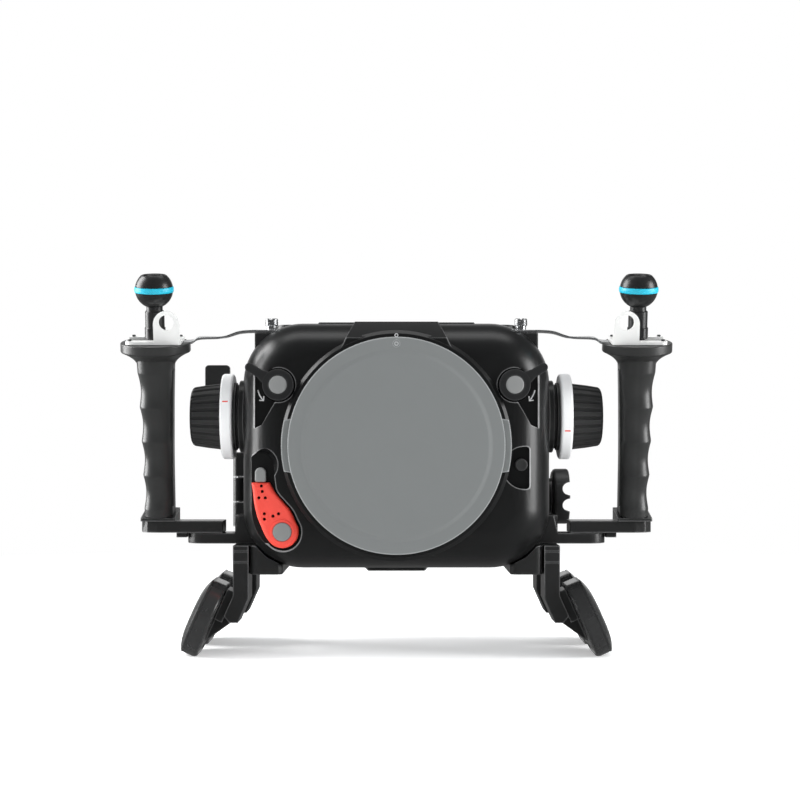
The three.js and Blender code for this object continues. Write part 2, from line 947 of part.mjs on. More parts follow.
function lockLever() {
  const half = lockArmWidth / 2;
  const root = Math.sqrt(lockHubRadius ** 2 - half ** 2) - gap;
  const arm = [
    [0, -half],
    [lockArmReach - half / 2, -half],
    [lockArmReach, -half / 2],
    [lockArmReach - half / 2, half],
    [root, half],
    [0, half],
  ];
  const back = lockFront + lockThickness;
  const hub = rod(lockHubRadius, lockFront, back, "y");
  const stem = rod(lockStemRadius, back - gap, back + lockStemLength, "y", smallSides);
  const bar = frontPrism(arm, lockFront + gap, lockFront + gap + lockArmThickness);
  const seat = rod(lockCapRadius + gap, lockFront - overrun, lockFront + lockCapSeat, "y");
  const turnedBar = bar.rotateY(-degrees(lockArmAngle));
  return cut(join(hub, stem, turnedBar), seat);
}

function lockCap() {
  return rod(lockCapRadius, lockFront - lockCapRise, lockFront + lockCapSeat - gap, "y");
}

// Record lever with its cap and finger tip

function recordLever() {
  const plate = frontPrism(recordOutline(0), recordFront, recordBack);
  const collar = rod(recordCollarRadius, recordFront - recordCollarRise, recordBack, "y");
  const stem = rod(recordStemRadius, recordBack - gap, cavityFront + overrun, "y", smallSides);
  const seatFront = recordFront - recordCollarRise;
  const seat = rod(recordCapRadius + gap, seatFront - overrun, seatFront + recordCapSeat, "y");
  return cut(join(plate, collar, stem), seat).translate(-recordX, 0, -recordZ);
}

function recordCap() {
  const front = recordFront - 2 * recordCollarRise;
  const back = recordFront - recordCollarRise + recordCapSeat - gap;
  return rod(recordCapRadius, front, back, "y").translate(-recordX, 0, -recordZ);
}

function recordTip() {
  const half = recordTipWidth / 2;
  const low = recordTopRise + gap;
  const shoulder = recordTopRise + recordTipRise - half;
  const outline = [
    [-half, low],
    [half, low],
    ...arcPoints(0, shoulder, half, 0, 180, smallSides / 2),
  ];
  const front = recordFront + (recordThickness - recordTipThickness) / 2;
  const tip = frontPrism(outline, front, front + recordTipThickness);
  return tip.translate(-recordX - recordTopShift, 0, -recordZ);
}

add(housing, "record_lever", recordLever(), redPlastic);
add(housing, "record_cap", recordCap(), greyPlastic);
add(housing, "record_tip", recordTip(), greyPlastic);

// Lens release button

function lensButton() {
  const back = lensPocketFloor - lensButtonHeight / 2;
  const profile = [
    [0, back - lensButtonHeight],
    [lensButtonRadius - gap, back - lensButtonHeight],
    [lensButtonRadius, back - lensButtonHeight + gap],
    [lensButtonRadius, back],
    [lensStemRadius, back],
    [lensStemRadius, cavityFront + overrun],
    [0, cavityFront + overrun],
  ];
  return turned(profile, "y").translate(lensButtonX, 0, -lensButtonZ);
}

add(housing, "lens_release_button", lensButton(), blackPlastic);

// Side knobs: a fixed base, a white ring and a ribbed grip with its shaft and gear

const knobBaseOuter = halfWidth + gap + knobBaseThickness;
const knobRingInner = knobBaseOuter + knobRingStandoff;
const knobRingOuter = knobRingInner + knobRingWidth;

function knobBase() {
  const base = tube(knobBaseRadius, knobShaftRadius + gap, halfWidth + gap, knobBaseOuter, "x");
  return base.translate(0, knobY, knobZ);
}

function knobRing() {
  const inner = knobGripRadius + gap;
  const profile = [
    [inner, knobRingInner],
    [knobRingRadius - knobRingEdge, knobRingInner],
    [knobRingRadius, knobRingInner + knobRingEdge],
    [knobRingRadius, knobRingOuter - knobRingEdge],
    [knobRingRadius - knobRingEdge, knobRingOuter],
    [inner, knobRingOuter],
    [inner, knobRingInner],
  ];
  return turned(profile, "x", fineSides / 2).translate(0, knobY, knobZ);
}

function knobRibRing(radius, x) {
  const outline = toothedOutline(radius, knobRibDepth, knobRibCount);
  return outline.map(([y, z]) => new THREE.Vector3(x, y, z));
}

function knobGrip() {
  const core = rod(knobGripRadius, knobBaseOuter + gap, knobRingOuter, "x", fineSides / 2);
  const ribs = loft([
    knobRibRing(knobGripRadius, knobRingOuter - gap),
    knobRibRing(knobTipRadius + gap, knobGripEnd - knobEdge),
    knobRibRing(knobTipRadius - knobEdge, knobGripEnd),
  ]);
  const inside = halfWidth - knobShaftInside - knobGearWidth;
  const shaft = rod(knobShaftRadius, inside, knobBaseOuter + 2 * gap, "x", smallSides);
  const gear = toothedOutline(knobGearRadius, knobToothDepth, knobGearTeeth);
  const wheel = sidePrism(gear, inside, inside + knobGearWidth);
  return join(core, ribs, shaft, wheel).translate(0, knobY, knobZ);
}

// Thumb paddle on a shaft through the left wall

function thumbPaddle() {
  const halfWide = (paddleOuter - paddleInner) / 2;
  const halfHigh = (paddleTop - paddleFoot) / 2;
  const outline = roundedOutline(halfWide, halfHigh, paddleCorner, smallSteps);
  const centreX = (paddleOuter + paddleInner) / 2;
  const plate = frontPrism(outline, paddleY, paddleY + paddleThickness);
  plate.translate(centreX, 0, (paddleTop + paddleFoot) / 2);
  const pivotY = paddleY + paddleThickness;
  const inside = halfWidth - sideWall - overrun;
  const hub = rod(paddleBossRadius, paddleInner, paddleOuter, "x", smallSides);
  const shaft = rod(paddleShaftRadius, inside, paddleInner + gap, "x", smallSides);
  hub.translate(0, pivotY, paddlePivotZ);
  shaft.translate(0, pivotY, paddlePivotZ);
  return join(plate, hub, shaft).scale(-1, 1, 1);
}

add(housing, "thumb_paddle", thumbPaddle(), blackPlastic);

// Rotary latch with two finger wells and a middle fin

function latchWell(side) {
  const fin = latchFinThickness / 2;
  const outer = latchInner + latchThickness;
  const mid = fin + latchWellWidth / 2;
  const steps = smallSides / 2;
  const outline = arcPoints(0, outer, 1, 180, 360, steps).map(([u, v]) => {
    return [side * (mid + u * (latchWellWidth / 2)), outer + (v - outer) * latchWellDepth];
  });
  outline.push([side * (mid + latchWellWidth / 2), outer + overrun]);
  outline.push([side * fin, outer + overrun]);
  const cutter = prism(outline.map(([z, x]) => [x, z]), 2 * latchRadius + 2 * overrun);
  return cutter.rotateX(Math.PI / 2).translate(0, latchRadius + overrun, 0);
}

function latchKnob() {
  const inner = latchInner;
  const outer = inner + latchThickness;
  const disc = turned(
    [
      [0, inner],
      [latchRadius - latchFoot, inner],
      [latchRadius, inner + latchFoot],
      [latchRadius, outer - latchFoot / 2],
      [latchRadius - latchFoot / 2, outer],
      [0, outer],
    ],
    "x",
  );
  const stem = rod(latchStemRadius, latchStemEnd, inner + gap, "x", smallSides);
  return cut(join(disc, stem), latchWell(-1), latchWell(1)).translate(0, latchY, -latchZ);
}

add(housing, "latch_knob", latchKnob(), blackPlastic);

// Seal between the shells

function bodySeal() {
  const middle = sideWall / 2;
  const outline = cavityOutline(middle - sealWidth / 2);
  const inner = cavityOutline(middle + sealWidth / 2);
  return frontPrism(outline, partingPlane - sealDepth, partingPlane, [inner]);
}

add(housing, "body_seal", bodySeal(), blueRubber);

// Rear door with its window, buttons and dial

const doorFront = partingPlane + gap;
const doorInside = doorBack - doorWall;
const windowOuterY = doorBack - windowSink;

function rearButtonPlaces() {
  const places = [];
  for (let index = 0; index < rearButtonCount; index += 1) {
    places.push(rearButtonTopZ - rearButtonPitch * index);
  }
  return places;
}

function rearDoor() {
  const rings = pillowRings(doorPillow, doorPillow, doorBack, -1).reverse();
  const blank = join(loft([bodyRing(0, doorFront), ...rings]), hingeKnuckle(1, 1));
  const half = [windowWidth / 2, windowHeight / 2];
  const inner = half.map((size) => size - windowLedge);
  const outer = half.map((size) => size + gap);
  const opening = roundedOutline(...inner, windowCorner, smallSteps);
  const ledge = roundedOutline(...outer, windowCorner, smallSteps);
  const ledgeY = windowOuterY - windowThickness - gap;
  const dialBore = rod(rearDialShaft + gap, doorInside - overrun, doorBack + overrun, "y", smallSides);
  const cutters = [
    frontPrism(cavityOutline(sideWall), partingPlane - overrun, doorInside),
    frontPrism(movedOutline(opening, windowX, 0), doorInside - overrun, doorBack + overrun),
    frontPrism(movedOutline(ledge, windowX, 0), ledgeY, doorBack + overrun),
    dialBore.translate(rearButtonX, 0, rearDialZ),
    hingeBore(),
  ];
  for (const z of rearButtonPlaces()) {
    const bore = rod(rearButtonStem + gap, doorInside - overrun, doorBack + overrun, "y", smallSides);
    cutters.push(bore.translate(rearButtonX, 0, z));
  }
  return cut(blank, ...cutters);
}

function rearWindow() {
  const outline = roundedOutline(windowWidth / 2, windowHeight / 2, windowCorner, smallSteps);
  const pane = frontPrism(outline, windowOuterY - windowThickness, windowOuterY);
  return pane.translate(windowX, 0, 0);
}

function rearButton(z) {
  const travel = rearButtonRise;
  const profile = [
    [0, doorInside - travel],
    [rearButtonStem, doorInside - travel],
    [rearButtonStem, doorBack + travel],
    [rearButtonRadius, doorBack + travel],
    [rearButtonRadius, doorBack + 2 * travel - gap],
    [rearButtonRadius - gap, doorBack + 2 * travel],
    [0, doorBack + 2 * travel],
  ];
  return turned(profile, "y", smallSides).translate(rearButtonX, 0, z);
}

function rearDial() {
  const outline = toothedOutline(rearDialRadius, rearDialNotchDepth, rearDialNotches);
  const wheel = frontPrism(outline, doorBack + gap, doorBack + gap + rearDialRise);
  const shaft = rod(rearDialShaft, doorInside - rearDialRise, doorBack + 2 * gap, "y", smallSides);
  return join(wheel, shaft).translate(rearButtonX, 0, rearDialZ);
}

function hingePin() {
  const pin = rod(hingePinRadius, hingeFoot, hingeTop, "z", smallSides);
  return pin.translate(-hingeX, partingPlane, 0);
}

add(housing, "rear_door", rearDoor(), blackAnodised);
add(housing, "rear_window", rearWindow(), clearWindow);
add(housing, "rear_dial", rearDial(), blackPlastic);
add(housing, "hinge_pin", hingePin(), bareSteel);
rearButtonPlaces().forEach((z, index) => {
  add(housing, `rear_button_${index + 1}`, rearButton(z), blackPlastic);
});

// Camera tray inside and base plate underneath

function cameraTray() {
  const floor = -halfHeight + sideWall + gap;
  const centreY = trayFrontY + trayDepth / 2;
  const outline = roundedOutline(trayWidth / 2, trayDepth / 2, trayCorner, smallSteps);
  const feetTop = floor + trayRailHeight;
  const plate = planPrism(movedOutline(outline, 0, centreY), feetTop, feetTop + trayThickness);
  const feet = [-1, 1].map((side) => {
    const foot = new THREE.BoxGeometry(trayRailWidth, trayDepth - trayRailWidth, trayRailHeight + gap);
    const x = side * (trayWidth / 2 - trayRailWidth);
    return foot.translate(x, centreY, floor + (trayRailHeight + gap) / 2);
  });
  return join(plate, ...feet);
}

function basePlate() {
  const top = -halfHeight - gap;
  const low = top - basePlateDrop;
  const outline = [
    [-basePlateHalf - basePlateSlope, top],
    [-basePlateHalf, low],
    [basePlateHalf, low],
    [basePlateHalf + basePlateSlope, top],
  ];
  return frontPrism(outline, basePlateFront, basePlateFront + basePlateLength);
}

add(housing, "camera_tray", cameraTray(), innerMetal);
add(housing, "base_plate", basePlate(), blackAnodised);

// Bulkhead plug on the shoulder

function bulkheadPlug() {
  const seat = plugTop - 2 * plugEdge - gap;
  const profile = [
    [0, seat - plugRoot + plugEdge + gap],
    [plugRootRadius, seat - plugRoot + plugEdge + gap],
    [plugRootRadius, seat],
    [plugRadius, seat],
    [plugRadius, plugTop - plugEdge],
    [plugRadius - plugEdge, plugTop],
    [0, plugTop],
  ];
  return turned(profile, "z").translate(plugX, plugY, 0);
}

// Stay post, stay and thumb screw

function stayPost() {
  const outline = roundedOutline(postWidth / 2, postDepth / 2, postCorner, smallSteps);
  const block = planPrism(outline, postTop - postRoot, postTop);
  const boreFoot = postTop - thumbStudLength - gap;
  const bore = rod(thumbNeckRadius + gap, boreFoot, postTop + overrun, "z", smallSides);
  return cut(cut(block, bore).translate(postX, stayY, 0), postFloor(gap));
}

const tilt = degrees(handleTilt);
const gripTop = gripBaseHeight + gap + gripLength + gripFlangeCone + gripFlangeThickness;
const stayTongue = stayY - handleY + gripTop * Math.sin(tilt);
const tongueLevel = gripTop - gap - stayThickness / 2;

// World height of a place on the tilted grip
function gripZ(along, back) {
  return armTop + along * Math.cos(tilt) + back * Math.sin(tilt);
}

function stay() {
  const flangeEdge = handleX - gripFlangeRadius;
  const outerZ = gripZ(tongueLevel, stayTongue / Math.cos(tilt));
  const innerZ = postTop + gap + stayThickness / 2;
  const middleZ = innerZ + stayMidRise;
  const postSide = postX + postWidth / 2;
  const [bendOuter, bendInner, riseEnd] = stayBendShares.map((share) => {
    return mix(flangeEdge, postSide, share);
  });
  const places = [
    [handleX - topSlotInner - gap, outerZ, 1],
    [flangeEdge - gap, outerZ, 1],
    [bendOuter, middleZ, outerRollShare],
    [bendInner, middleZ, innerRollShare],
    [riseEnd, innerZ, 0],
    [postX - postWidth / 2, innerZ, 0],
  ];
  const rings = places.map(([x, z, share]) => {
    const roll = tilt * share;
    const corners = [[-1, -1], [1, -1], [1, 1], [-1, 1]];
    return corners.map(([back, up]) => {
      const y = (back * stayWidth) / 2;
      const h = (up * stayThickness) / 2;
      return new THREE.Vector3(
        x,
        stayY + y * Math.cos(roll) - h * Math.sin(roll),
        z + y * Math.sin(roll) + h * Math.cos(roll),
      );
    });
  });
  const bore = rod(thumbNeckRadius + gap, postTop - overrun, postTop + overrun, "z", smallSides);
  return cut(loft(rings), bore.translate(postX, stayY, 0));
}

function thumbScrew() {
  const seat = postTop + 2 * gap + stayThickness;
  const neck = seat + thumbNeckHeight;
  const head = neck + thumbHeadHeight;
  const profile = [
    [0, postTop - thumbStudLength],
    [thumbNeckRadius, postTop - thumbStudLength],
    [thumbNeckRadius, seat],
    [thumbCollarRadius, seat],
    [thumbCollarRadius, neck],
    [thumbHeadRadius, neck],
    [thumbHeadRadius, head - gap],
    [thumbHeadRadius - gap, head],
    [0, head],
  ];
  return turned(profile, "z", smallSides).translate(postX, stayY, 0);
}

// Bracket: lower arm with a flange on the shell side

const upperArmFoot = armTop - upperArmThickness;
const lowerArmTop = upperArmFoot - gap;
const lowerArmFoot = lowerArmTop - lowerArmThickness;

function bracketArm() {
  const halfArm = armWidth / 2;
  const nose = lowerArmOuter - lowerArmNose;
  const outline = [
    [lowerArmInner, -halfArm],
    [nose, -halfArm],
    [lowerArmOuter, -lowerArmTipWidth / 2],
    [lowerArmOuter, lowerArmTipWidth / 2],
    [nose, halfArm],
    [lowerArmInner, halfArm],
  ];
  const arm = planPrism(movedOutline(outline, 0, handleY), lowerArmFoot, lowerArmTop);
  const riserHeight = lowerArmThickness + flangeRiser;
  const riser = new THREE.BoxGeometry(flangeOuter - lowerArmInner, armWidth, riserHeight);
  riser.translate((flangeOuter + lowerArmInner) / 2, handleY, lowerArmFoot + riserHeight / 2);
  return cut(join(arm, riser), bodyEnvelope(gap));
}

// Handle arm: upper arm, end stop and the wedge that the grip stands on

function handleArm() {
  const halfArm = armWidth / 2;
  const centre = handleX + upperArmOverhang - halfArm;
  const outline = [
    [upperArmInner, -halfArm],
    ...arcPoints(centre, 0, halfArm, -90, 90, smallSides / 2),
    [upperArmInner, halfArm],
  ];
  const arm = planPrism(movedOutline(outline, 0, handleY), upperArmFoot, armTop);
  const stop = new THREE.BoxGeometry(armStopLength, armStopWidth, armStopDrop + gap);
  const stopX = lowerArmOuter + gap + armStopLength / 2;
  stop.translate(stopX, handleY, upperArmFoot - (armStopDrop - gap) / 2);
  const halfBase = gripBaseDepth / 2;
  const wedge = [
    [-halfBase, -gap],
    [halfBase, -gap],
    [halfBase, gripBaseHeight + halfBase * Math.tan(tilt)],
    [-halfBase, gripBaseHeight - halfBase * Math.tan(tilt)],
  ];
  const halfBaseWidth = gripBaseWidth / 2;
  const side = movedOutline(wedge, handleY, armTop);
  const base = sidePrism(side, handleX - halfBaseWidth, handleX + halfBaseWidth);
  return join(arm, stop, base);
}

// Grip, built upright about its own axis: X 0 is its middle and Z 0 the arm top

const gripStart = gripBaseHeight + gap;

function gripRing(share) {
  const width = mix(gripFootWidth, gripHeadWidth, share ** 2);
  const wave = Math.cos(share * gripGrooves * Math.PI * 2);
  const groove = (gripGrooveDepth * (1 + wave)) / 2;
  const corner = (width / 2) * gripCornerShare;
  const outline = roundedOutline(width / 2, gripDepth / 2, corner, smallSteps);
  const z = gripStart + gripLength * share;
  return outline.map(([x, y]) => {
    const outerX = x > 0 ? x - groove * (x / width) : x;
    const frontY = y < 0 ? y + groove * 2 * (-y / gripDepth) : y;
    return new THREE.Vector3(outerX, frontY, z);
  });
}

function grip() {
  const rings = [];
  for (let i = 0; i <= gripRingCount; i += 1) {
    rings.push(gripRing(i / gripRingCount));
  }
  const coneFoot = gripStart + gripLength - gap;
  const coneTop = gripStart + gripLength + gripFlangeCone;
  const flange = turned(
    [
      [0, coneFoot],
      [gripHeadWidth / 2, coneFoot],
      [gripFlangeRadius - gap, coneTop],
      [gripFlangeRadius, coneTop + gap],
      [gripFlangeRadius, gripTop - gap],
      [gripFlangeRadius - gap, gripTop],
      [0, gripTop],
    ],
    "z",
    fineSides / 2,
  );
  const pocketReach = gripFlangeRadius + overrun - topSlotInner;
  const pocket = new THREE.BoxGeometry(pocketReach, stayWidth + 2 * gap, gripPocketDepth + overrun);
  pocket.translate(
    -topSlotInner - pocketReach / 2,
    stayTongue / Math.cos(tilt),
    gripTop - gripPocketDepth + (gripPocketDepth + overrun) / 2,
  );
  const boreFoot = gripTop - ballStudLength - gap;
  const bore = rod(ballStudRadius + gap, boreFoot, gripTop + overrun, "z", roundSides);
  return cut(join(loft(rings), flange), pocket, bore);
}

// Top plate: a bent sheet with two prongs round the ball stud and a raised ear

const plateFoot = gripTop + gap;
const plateTop = plateFoot + topPlateThickness;

function topPlate() {
  const half = topPlateWidth / 2;
  const halfDepth = topPlateDepth / 2;
  const outline = roundedOutline(half, halfDepth, topPlateCorner, smallSteps);
  const sheet = planPrism(outline, plateFoot, plateTop);
  const slotOutline = roundedOutline(half, topSlotWidth / 2, topSlotWidth / 2 - gap, cornerSteps);
  const slotPlace = movedOutline(slotOutline, half - topSlotInner, 0);
  const slot = planPrism(slotPlace, plateFoot - overrun, plateTop + overrun);
  const earHalf = earWidth / 2;
  const earTop = plateTop + earHeight;
  const earOutline = [
    [-earShift - earHalf, plateFoot],
    [-earShift + earHalf, plateFoot],
    ...arcPoints(-earShift, earTop - earHalf, earHalf, 0, 180, smallSides / 2),
  ];
  const hole = circleOutline(earHoleRadius, smallSides, -earShift, plateTop + earHoleRise);
  const ear = frontPrism(earOutline, -halfDepth, -halfDepth + topPlateThickness, [hole]);
  return join(cut(sheet, slot), ear);
}

// Ball mount turned in one piece, with a groove for its ring

const ballCentre = plateTop + ballRise;

function ballMount() {
  const foot = plateTop + gap;
  const half = ballRingWidth / 2 + gap;
  const groove = ballRadius - ballRingDepth - gap;
  const neckTop = ballCentre - Math.sqrt(ballRadius ** 2 - ballNeckRadius ** 2);
  const neckAngle = degrees(90) - Math.asin(ballNeckRadius / ballRadius);
  const flatAngle = Math.asin(ballFlat / ballRadius);
  const edgeAngle = Math.asin(half / ballRadius);
  const low = [];
  const high = [];
  for (let step = 0; step <= ballSteps; step += 1) {
    const angle = mix(-neckAngle, -edgeAngle, step / ballSteps);
    low.push([ballRadius * Math.cos(angle), ballCentre + ballRadius * Math.sin(angle)]);
    const rise = mix(edgeAngle, flatAngle, step / ballSteps);
    high.push([ballRadius * Math.cos(rise), ballCentre + ballRadius * Math.sin(rise)]);
  }
  const top = ballCentre + ballFlat;
  const profile = [
    [0, gripTop - ballStudLength],
    [ballStudRadius, gripTop - ballStudLength],
    [ballStudRadius, foot],
    [ballFootRadius, foot],
    [ballFootRadius, foot + ballFootLength],
    [ballCollarRadius, foot + ballFootLength],
    [ballCollarRadius, foot + ballFootLength + ballCollarLength],
    [ballNeckRadius, foot + ballFootLength + ballCollarLength],
    [ballNeckRadius, neckTop - gap],
    ...low,
    [groove, ballCentre - half],
    [groove, ballCentre + half],
    ...high,
    [ballDishRadius, top],
    [ballDishRadius - ballDishDepth, top - ballDishDepth],
    [0, top - ballDishDepth],
  ];
  return turned(profile, "z", roundSides);
}

function ballRing() {
  const inner = ballRadius - ballRingDepth;
  const outer = ballRadius + ballRingProud;
  const half = ballRingWidth / 2;
  const profile = [
    [inner, ballCentre - half],
    [outer - ballRingProud, ballCentre - half],
    [outer, ballCentre - half / 2],
    [outer, ballCentre + half / 2],
    [outer - ballRingProud, ballCentre + half],
    [inner, ballCentre + half],
    [inner, ballCentre - half],
  ];
  return turned(profile, "z", roundSides);
}

// Side rail nested under the lower corner of the body

function sideRail() {
  const railTop = lowerArmFoot - gap;
  const outline = [
    [railInner, railFront + railNose / 2],
    [railInner + railNose / 2, railFront],
    [railOuter - railNose, railFront],
    ...arcPoints(railOuter - railNose, railFront + railNose, railNose, -90, 0, smallSteps),
    [railOuter, railFront + railLength],
    [railInner, railFront + railLength],
  ];
  return cut(planPrism(outline, railFoot, railTop), bodyEnvelope(gap));
}

// Legs, splayed outward at the foot, and the pads they carry

const legTop = lowerArmFoot - gap;
const legInner = railOuter + gap;
const legOuter = legInner + legThickness;
const splay = degrees(legSplay);

function legPoint(x, z, along) {
  return [x + along * Math.sin(splay), z - along * Math.cos(splay)];
}

function padCentreX() {
  const lowered = (legKink - padCentreDrop) / Math.cos(splay);
  const [x] = legPoint(legOuter, legKink, lowered);
  return x + (padStandoff + gap + padThickness / 2) / Math.cos(splay);
}

function leg(front) {
  const bend = legThickness * Math.tan(splay / 2);
  const slant = (legKink - legFoot) / Math.cos(splay);
  const innerFoot = legPoint(legInner, legKink - bend, slant - bend);
  const outerFoot = legPoint(legOuter, legKink, slant - legThickness * Math.tan(splay));
  const strut = [
    [legInner, legTop],
    [legInner, legKink - bend],
    innerFoot,
    [mix(innerFoot[0], outerFoot[0], legBreakShare), innerFoot[1]],
    outerFoot,
    [legOuter, legKink],
    [legOuter, legTop],
  ];
  const middle = slant * legHubShare;
  const hubLow = legPoint(legOuter, legKink, middle + legHubRadius);
  const hubHigh = legPoint(legOuter, legKink, middle - legHubRadius);
  const across = [padStandoff * Math.cos(splay), padStandoff * Math.sin(splay)];
  const within = [-gap * Math.cos(splay), -gap * Math.sin(splay)];
  const hub = [
    [hubHigh[0] + within[0], hubHigh[1] + within[1]],
    [hubLow[0] + within[0], hubLow[1] + within[1]],
    [hubLow[0] + across[0], hubLow[1] + across[1]],
    [hubHigh[0] + across[0], hubHigh[1] + across[1]],
  ];
  const tip = legPoint(hubLow[0] + across[0], hubLow[1] + across[1], gussetReach);
  const gusset = [
    [mix(innerFoot[0], outerFoot[0], gussetRootShare), innerFoot[1] + gap],
    tip,
    [hubLow[0] + across[0], hubLow[1] + across[1]],
    [hubHigh[0] + within[0], hubHigh[1] + within[1]],
  ];
  const webFront = front + (legWidth - gussetThickness) / 2;
  return join(
    frontPrism(strut, front, front + legWidth),
    frontPrism(hub, front + legWidth / 2 - legHubRadius, front + legWidth / 2 + legHubRadius),
    frontPrism(gusset, webFront, webFront + gussetThickness),
  );
}

const padLength = legPitch - padSeam;

function footPad(front) {
  const halfLength = padLength / 2;
  const halfPad = padHeight / 2;
  const back = -padThickness / 2;
  const shoulder = padThickness / 2 - padCrown;
  const crown = padCrownShares.map(([inward, rise]) => [halfPad * inward, shoulder + padCrown * rise]);
  const rings = [[padEdge, back], [0, back + padEdge], ...crown].map(([inset, x]) => {
    const outline = roundedOutline(halfLength - inset, halfPad - inset, padCorner - inset);
    return outline.map(([y, z]) => new THREE.Vector3(x, y, z));
  });
  const pad = loft(rings).rotateY(-splay);
  pad.translate(padCentreX(), front + legWidth / 2, padCentreDrop);
  pad.computeBoundingBox();
  const floor = pad.boundingBox.min.z + padFlat;
  const ground = new THREE.BoxGeometry(padHeight, 2 * padLength, overrun);
  ground.translate(padCentreX(), front + legWidth / 2, floor - overrun / 2);
  return cut(pad, ground);
}

// Everything that comes once on each side; the left side is the mirror of the right

for (const side of ["left", "right"]) {
  const half = new THREE.Group();
  half.scale.x = side === "left" ? -1 : 1;
  housing.add(half);

  const lock = new THREE.Group();
  lock.position.set(lockX, 0, lockZ);
  half.add(lock);
  add(lock, `${side}_lock_lever`, lockLever(), darkAnodised);
  add(lock, `${side}_lock_cap`, lockCap(), greyPlastic);

  add(half, `${side}_knob_base`, knobBase(), blackAnodised);
  add(half, `${side}_knob_ring`, knobRing(), whitePlastic);
  add(half, `${side}_knob_grip`, knobGrip(), blackRubber);
  add(half, `${side}_bulkhead_plug`, bulkheadPlug(), blackAnodised);
  add(half, `${side}_stay_post`, stayPost(), blackAnodised);
  add(half, `${side}_stay`, stay(), bareSteel);
  add(half, `${side}_thumb_screw`, thumbScrew(), bareSteel);
  add(half, `${side}_bracket_arm`, bracketArm(), blackAnodised);
  add(half, `${side}_handle_arm`, handleArm(), blackAnodised);
  add(half, `${side}_side_rail`, sideRail(), blackAnodised);

  const handle = new THREE.Group();
  handle.position.set(handleX, handleY, armTop);
  handle.rotation.x = tilt;
  half.add(handle);
  add(handle, `${side}_grip`, grip(), blackRubber);
  add(handle, `${side}_top_plate`, topPlate(), bareSteel);
  add(handle, `${side}_ball_mount`, ballMount(), blackAnodised);
  add(handle, `${side}_ball_ring`, ballRing(), blueRubber);

  for (const [end, index] of [["front", 0], ["rear", 1]]) {
    const front = railFront + legPitch * index;
    add(half, `${side}_${end}_leg`, leg(front), blackAnodised);
    add(half, `${side}_${end}_foot_pad`, footPad(front), blackRubber);
  }
}

// The origin goes to the middle of the footprint, on the ground

const box = new THREE.Box3().setFromObject(housing, true);
const middle = box.getCenter(new THREE.Vector3());
housing.position.set(-middle.x, -middle.y, -box.min.z);
housing.updateMatrixWorld(true);

export default housing;
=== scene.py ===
"""Underwater camera housing: the finished looks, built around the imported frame.

Pieces are drawn in millimetres about the middle of the body, with Y 0 on the port face,
and then placed in the frame in metres. X points right, Y points back, Z points up.
"""

import json
import math

import bmesh
import bpy
from mathutils import Matrix, Vector


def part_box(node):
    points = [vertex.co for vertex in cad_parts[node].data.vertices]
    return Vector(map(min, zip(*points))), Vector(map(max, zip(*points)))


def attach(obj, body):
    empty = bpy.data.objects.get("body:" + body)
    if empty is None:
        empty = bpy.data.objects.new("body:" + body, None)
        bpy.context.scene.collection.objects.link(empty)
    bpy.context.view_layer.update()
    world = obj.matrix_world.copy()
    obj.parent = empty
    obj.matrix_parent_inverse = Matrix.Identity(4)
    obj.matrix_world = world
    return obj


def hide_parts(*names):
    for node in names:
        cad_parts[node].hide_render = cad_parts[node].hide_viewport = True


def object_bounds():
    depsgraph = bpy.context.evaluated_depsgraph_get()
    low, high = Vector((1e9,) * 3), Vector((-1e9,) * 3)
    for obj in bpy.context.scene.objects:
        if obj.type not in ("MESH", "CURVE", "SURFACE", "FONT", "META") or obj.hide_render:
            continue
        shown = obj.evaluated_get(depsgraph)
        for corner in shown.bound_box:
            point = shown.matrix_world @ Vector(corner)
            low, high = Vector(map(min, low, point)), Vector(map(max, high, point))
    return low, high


bl_info = {
    "name": "Underwater camera housing",
    "version": (1, 0, 0),
    "blender": (4, 5, 0),
    "location": "View3D > Sidebar > Housing",
    "description": "Builds the finished pieces of an underwater camera housing around its frame",
    "category": "Object",
}

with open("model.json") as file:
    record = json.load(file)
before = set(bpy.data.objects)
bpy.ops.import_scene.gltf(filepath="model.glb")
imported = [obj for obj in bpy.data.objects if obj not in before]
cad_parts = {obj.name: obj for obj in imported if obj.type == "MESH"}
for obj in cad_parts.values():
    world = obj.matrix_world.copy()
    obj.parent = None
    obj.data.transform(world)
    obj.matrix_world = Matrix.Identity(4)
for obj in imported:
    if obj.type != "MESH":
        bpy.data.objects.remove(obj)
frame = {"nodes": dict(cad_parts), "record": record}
CAD_BOX = [list(corner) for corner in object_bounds()]
RECORD = frame["record"]
BODY_OF = {node: body for body, nodes in RECORD["behaviour"]["bodies"].items() for node in nodes}
SLOT_OF = {row["node"]: row["material_slot"] for row in RECORD["subparts"]}

MM = 0.001
GAP = 0.3
REACH = 6.0

# Body
HALF_WIDTH, HALF_HEIGHT, CORNER = 102.0, 81.5, 40.0
PILLOW_DEPTH, PILLOW_INSET, FRONT_Y, PARTING_Y = 34.0, 26.0, 4.0, 130.0
FRONT_WALL, SIDE_WALL = 20.0, 10.0
DECK_HALF, DECK_RISE, DECK_START, DECK_END, DECK_SLOPE = 51.5, 0.7, 34.0, 120.0, 3.0
CAVITY_Y = FRONT_Y + FRONT_WALL

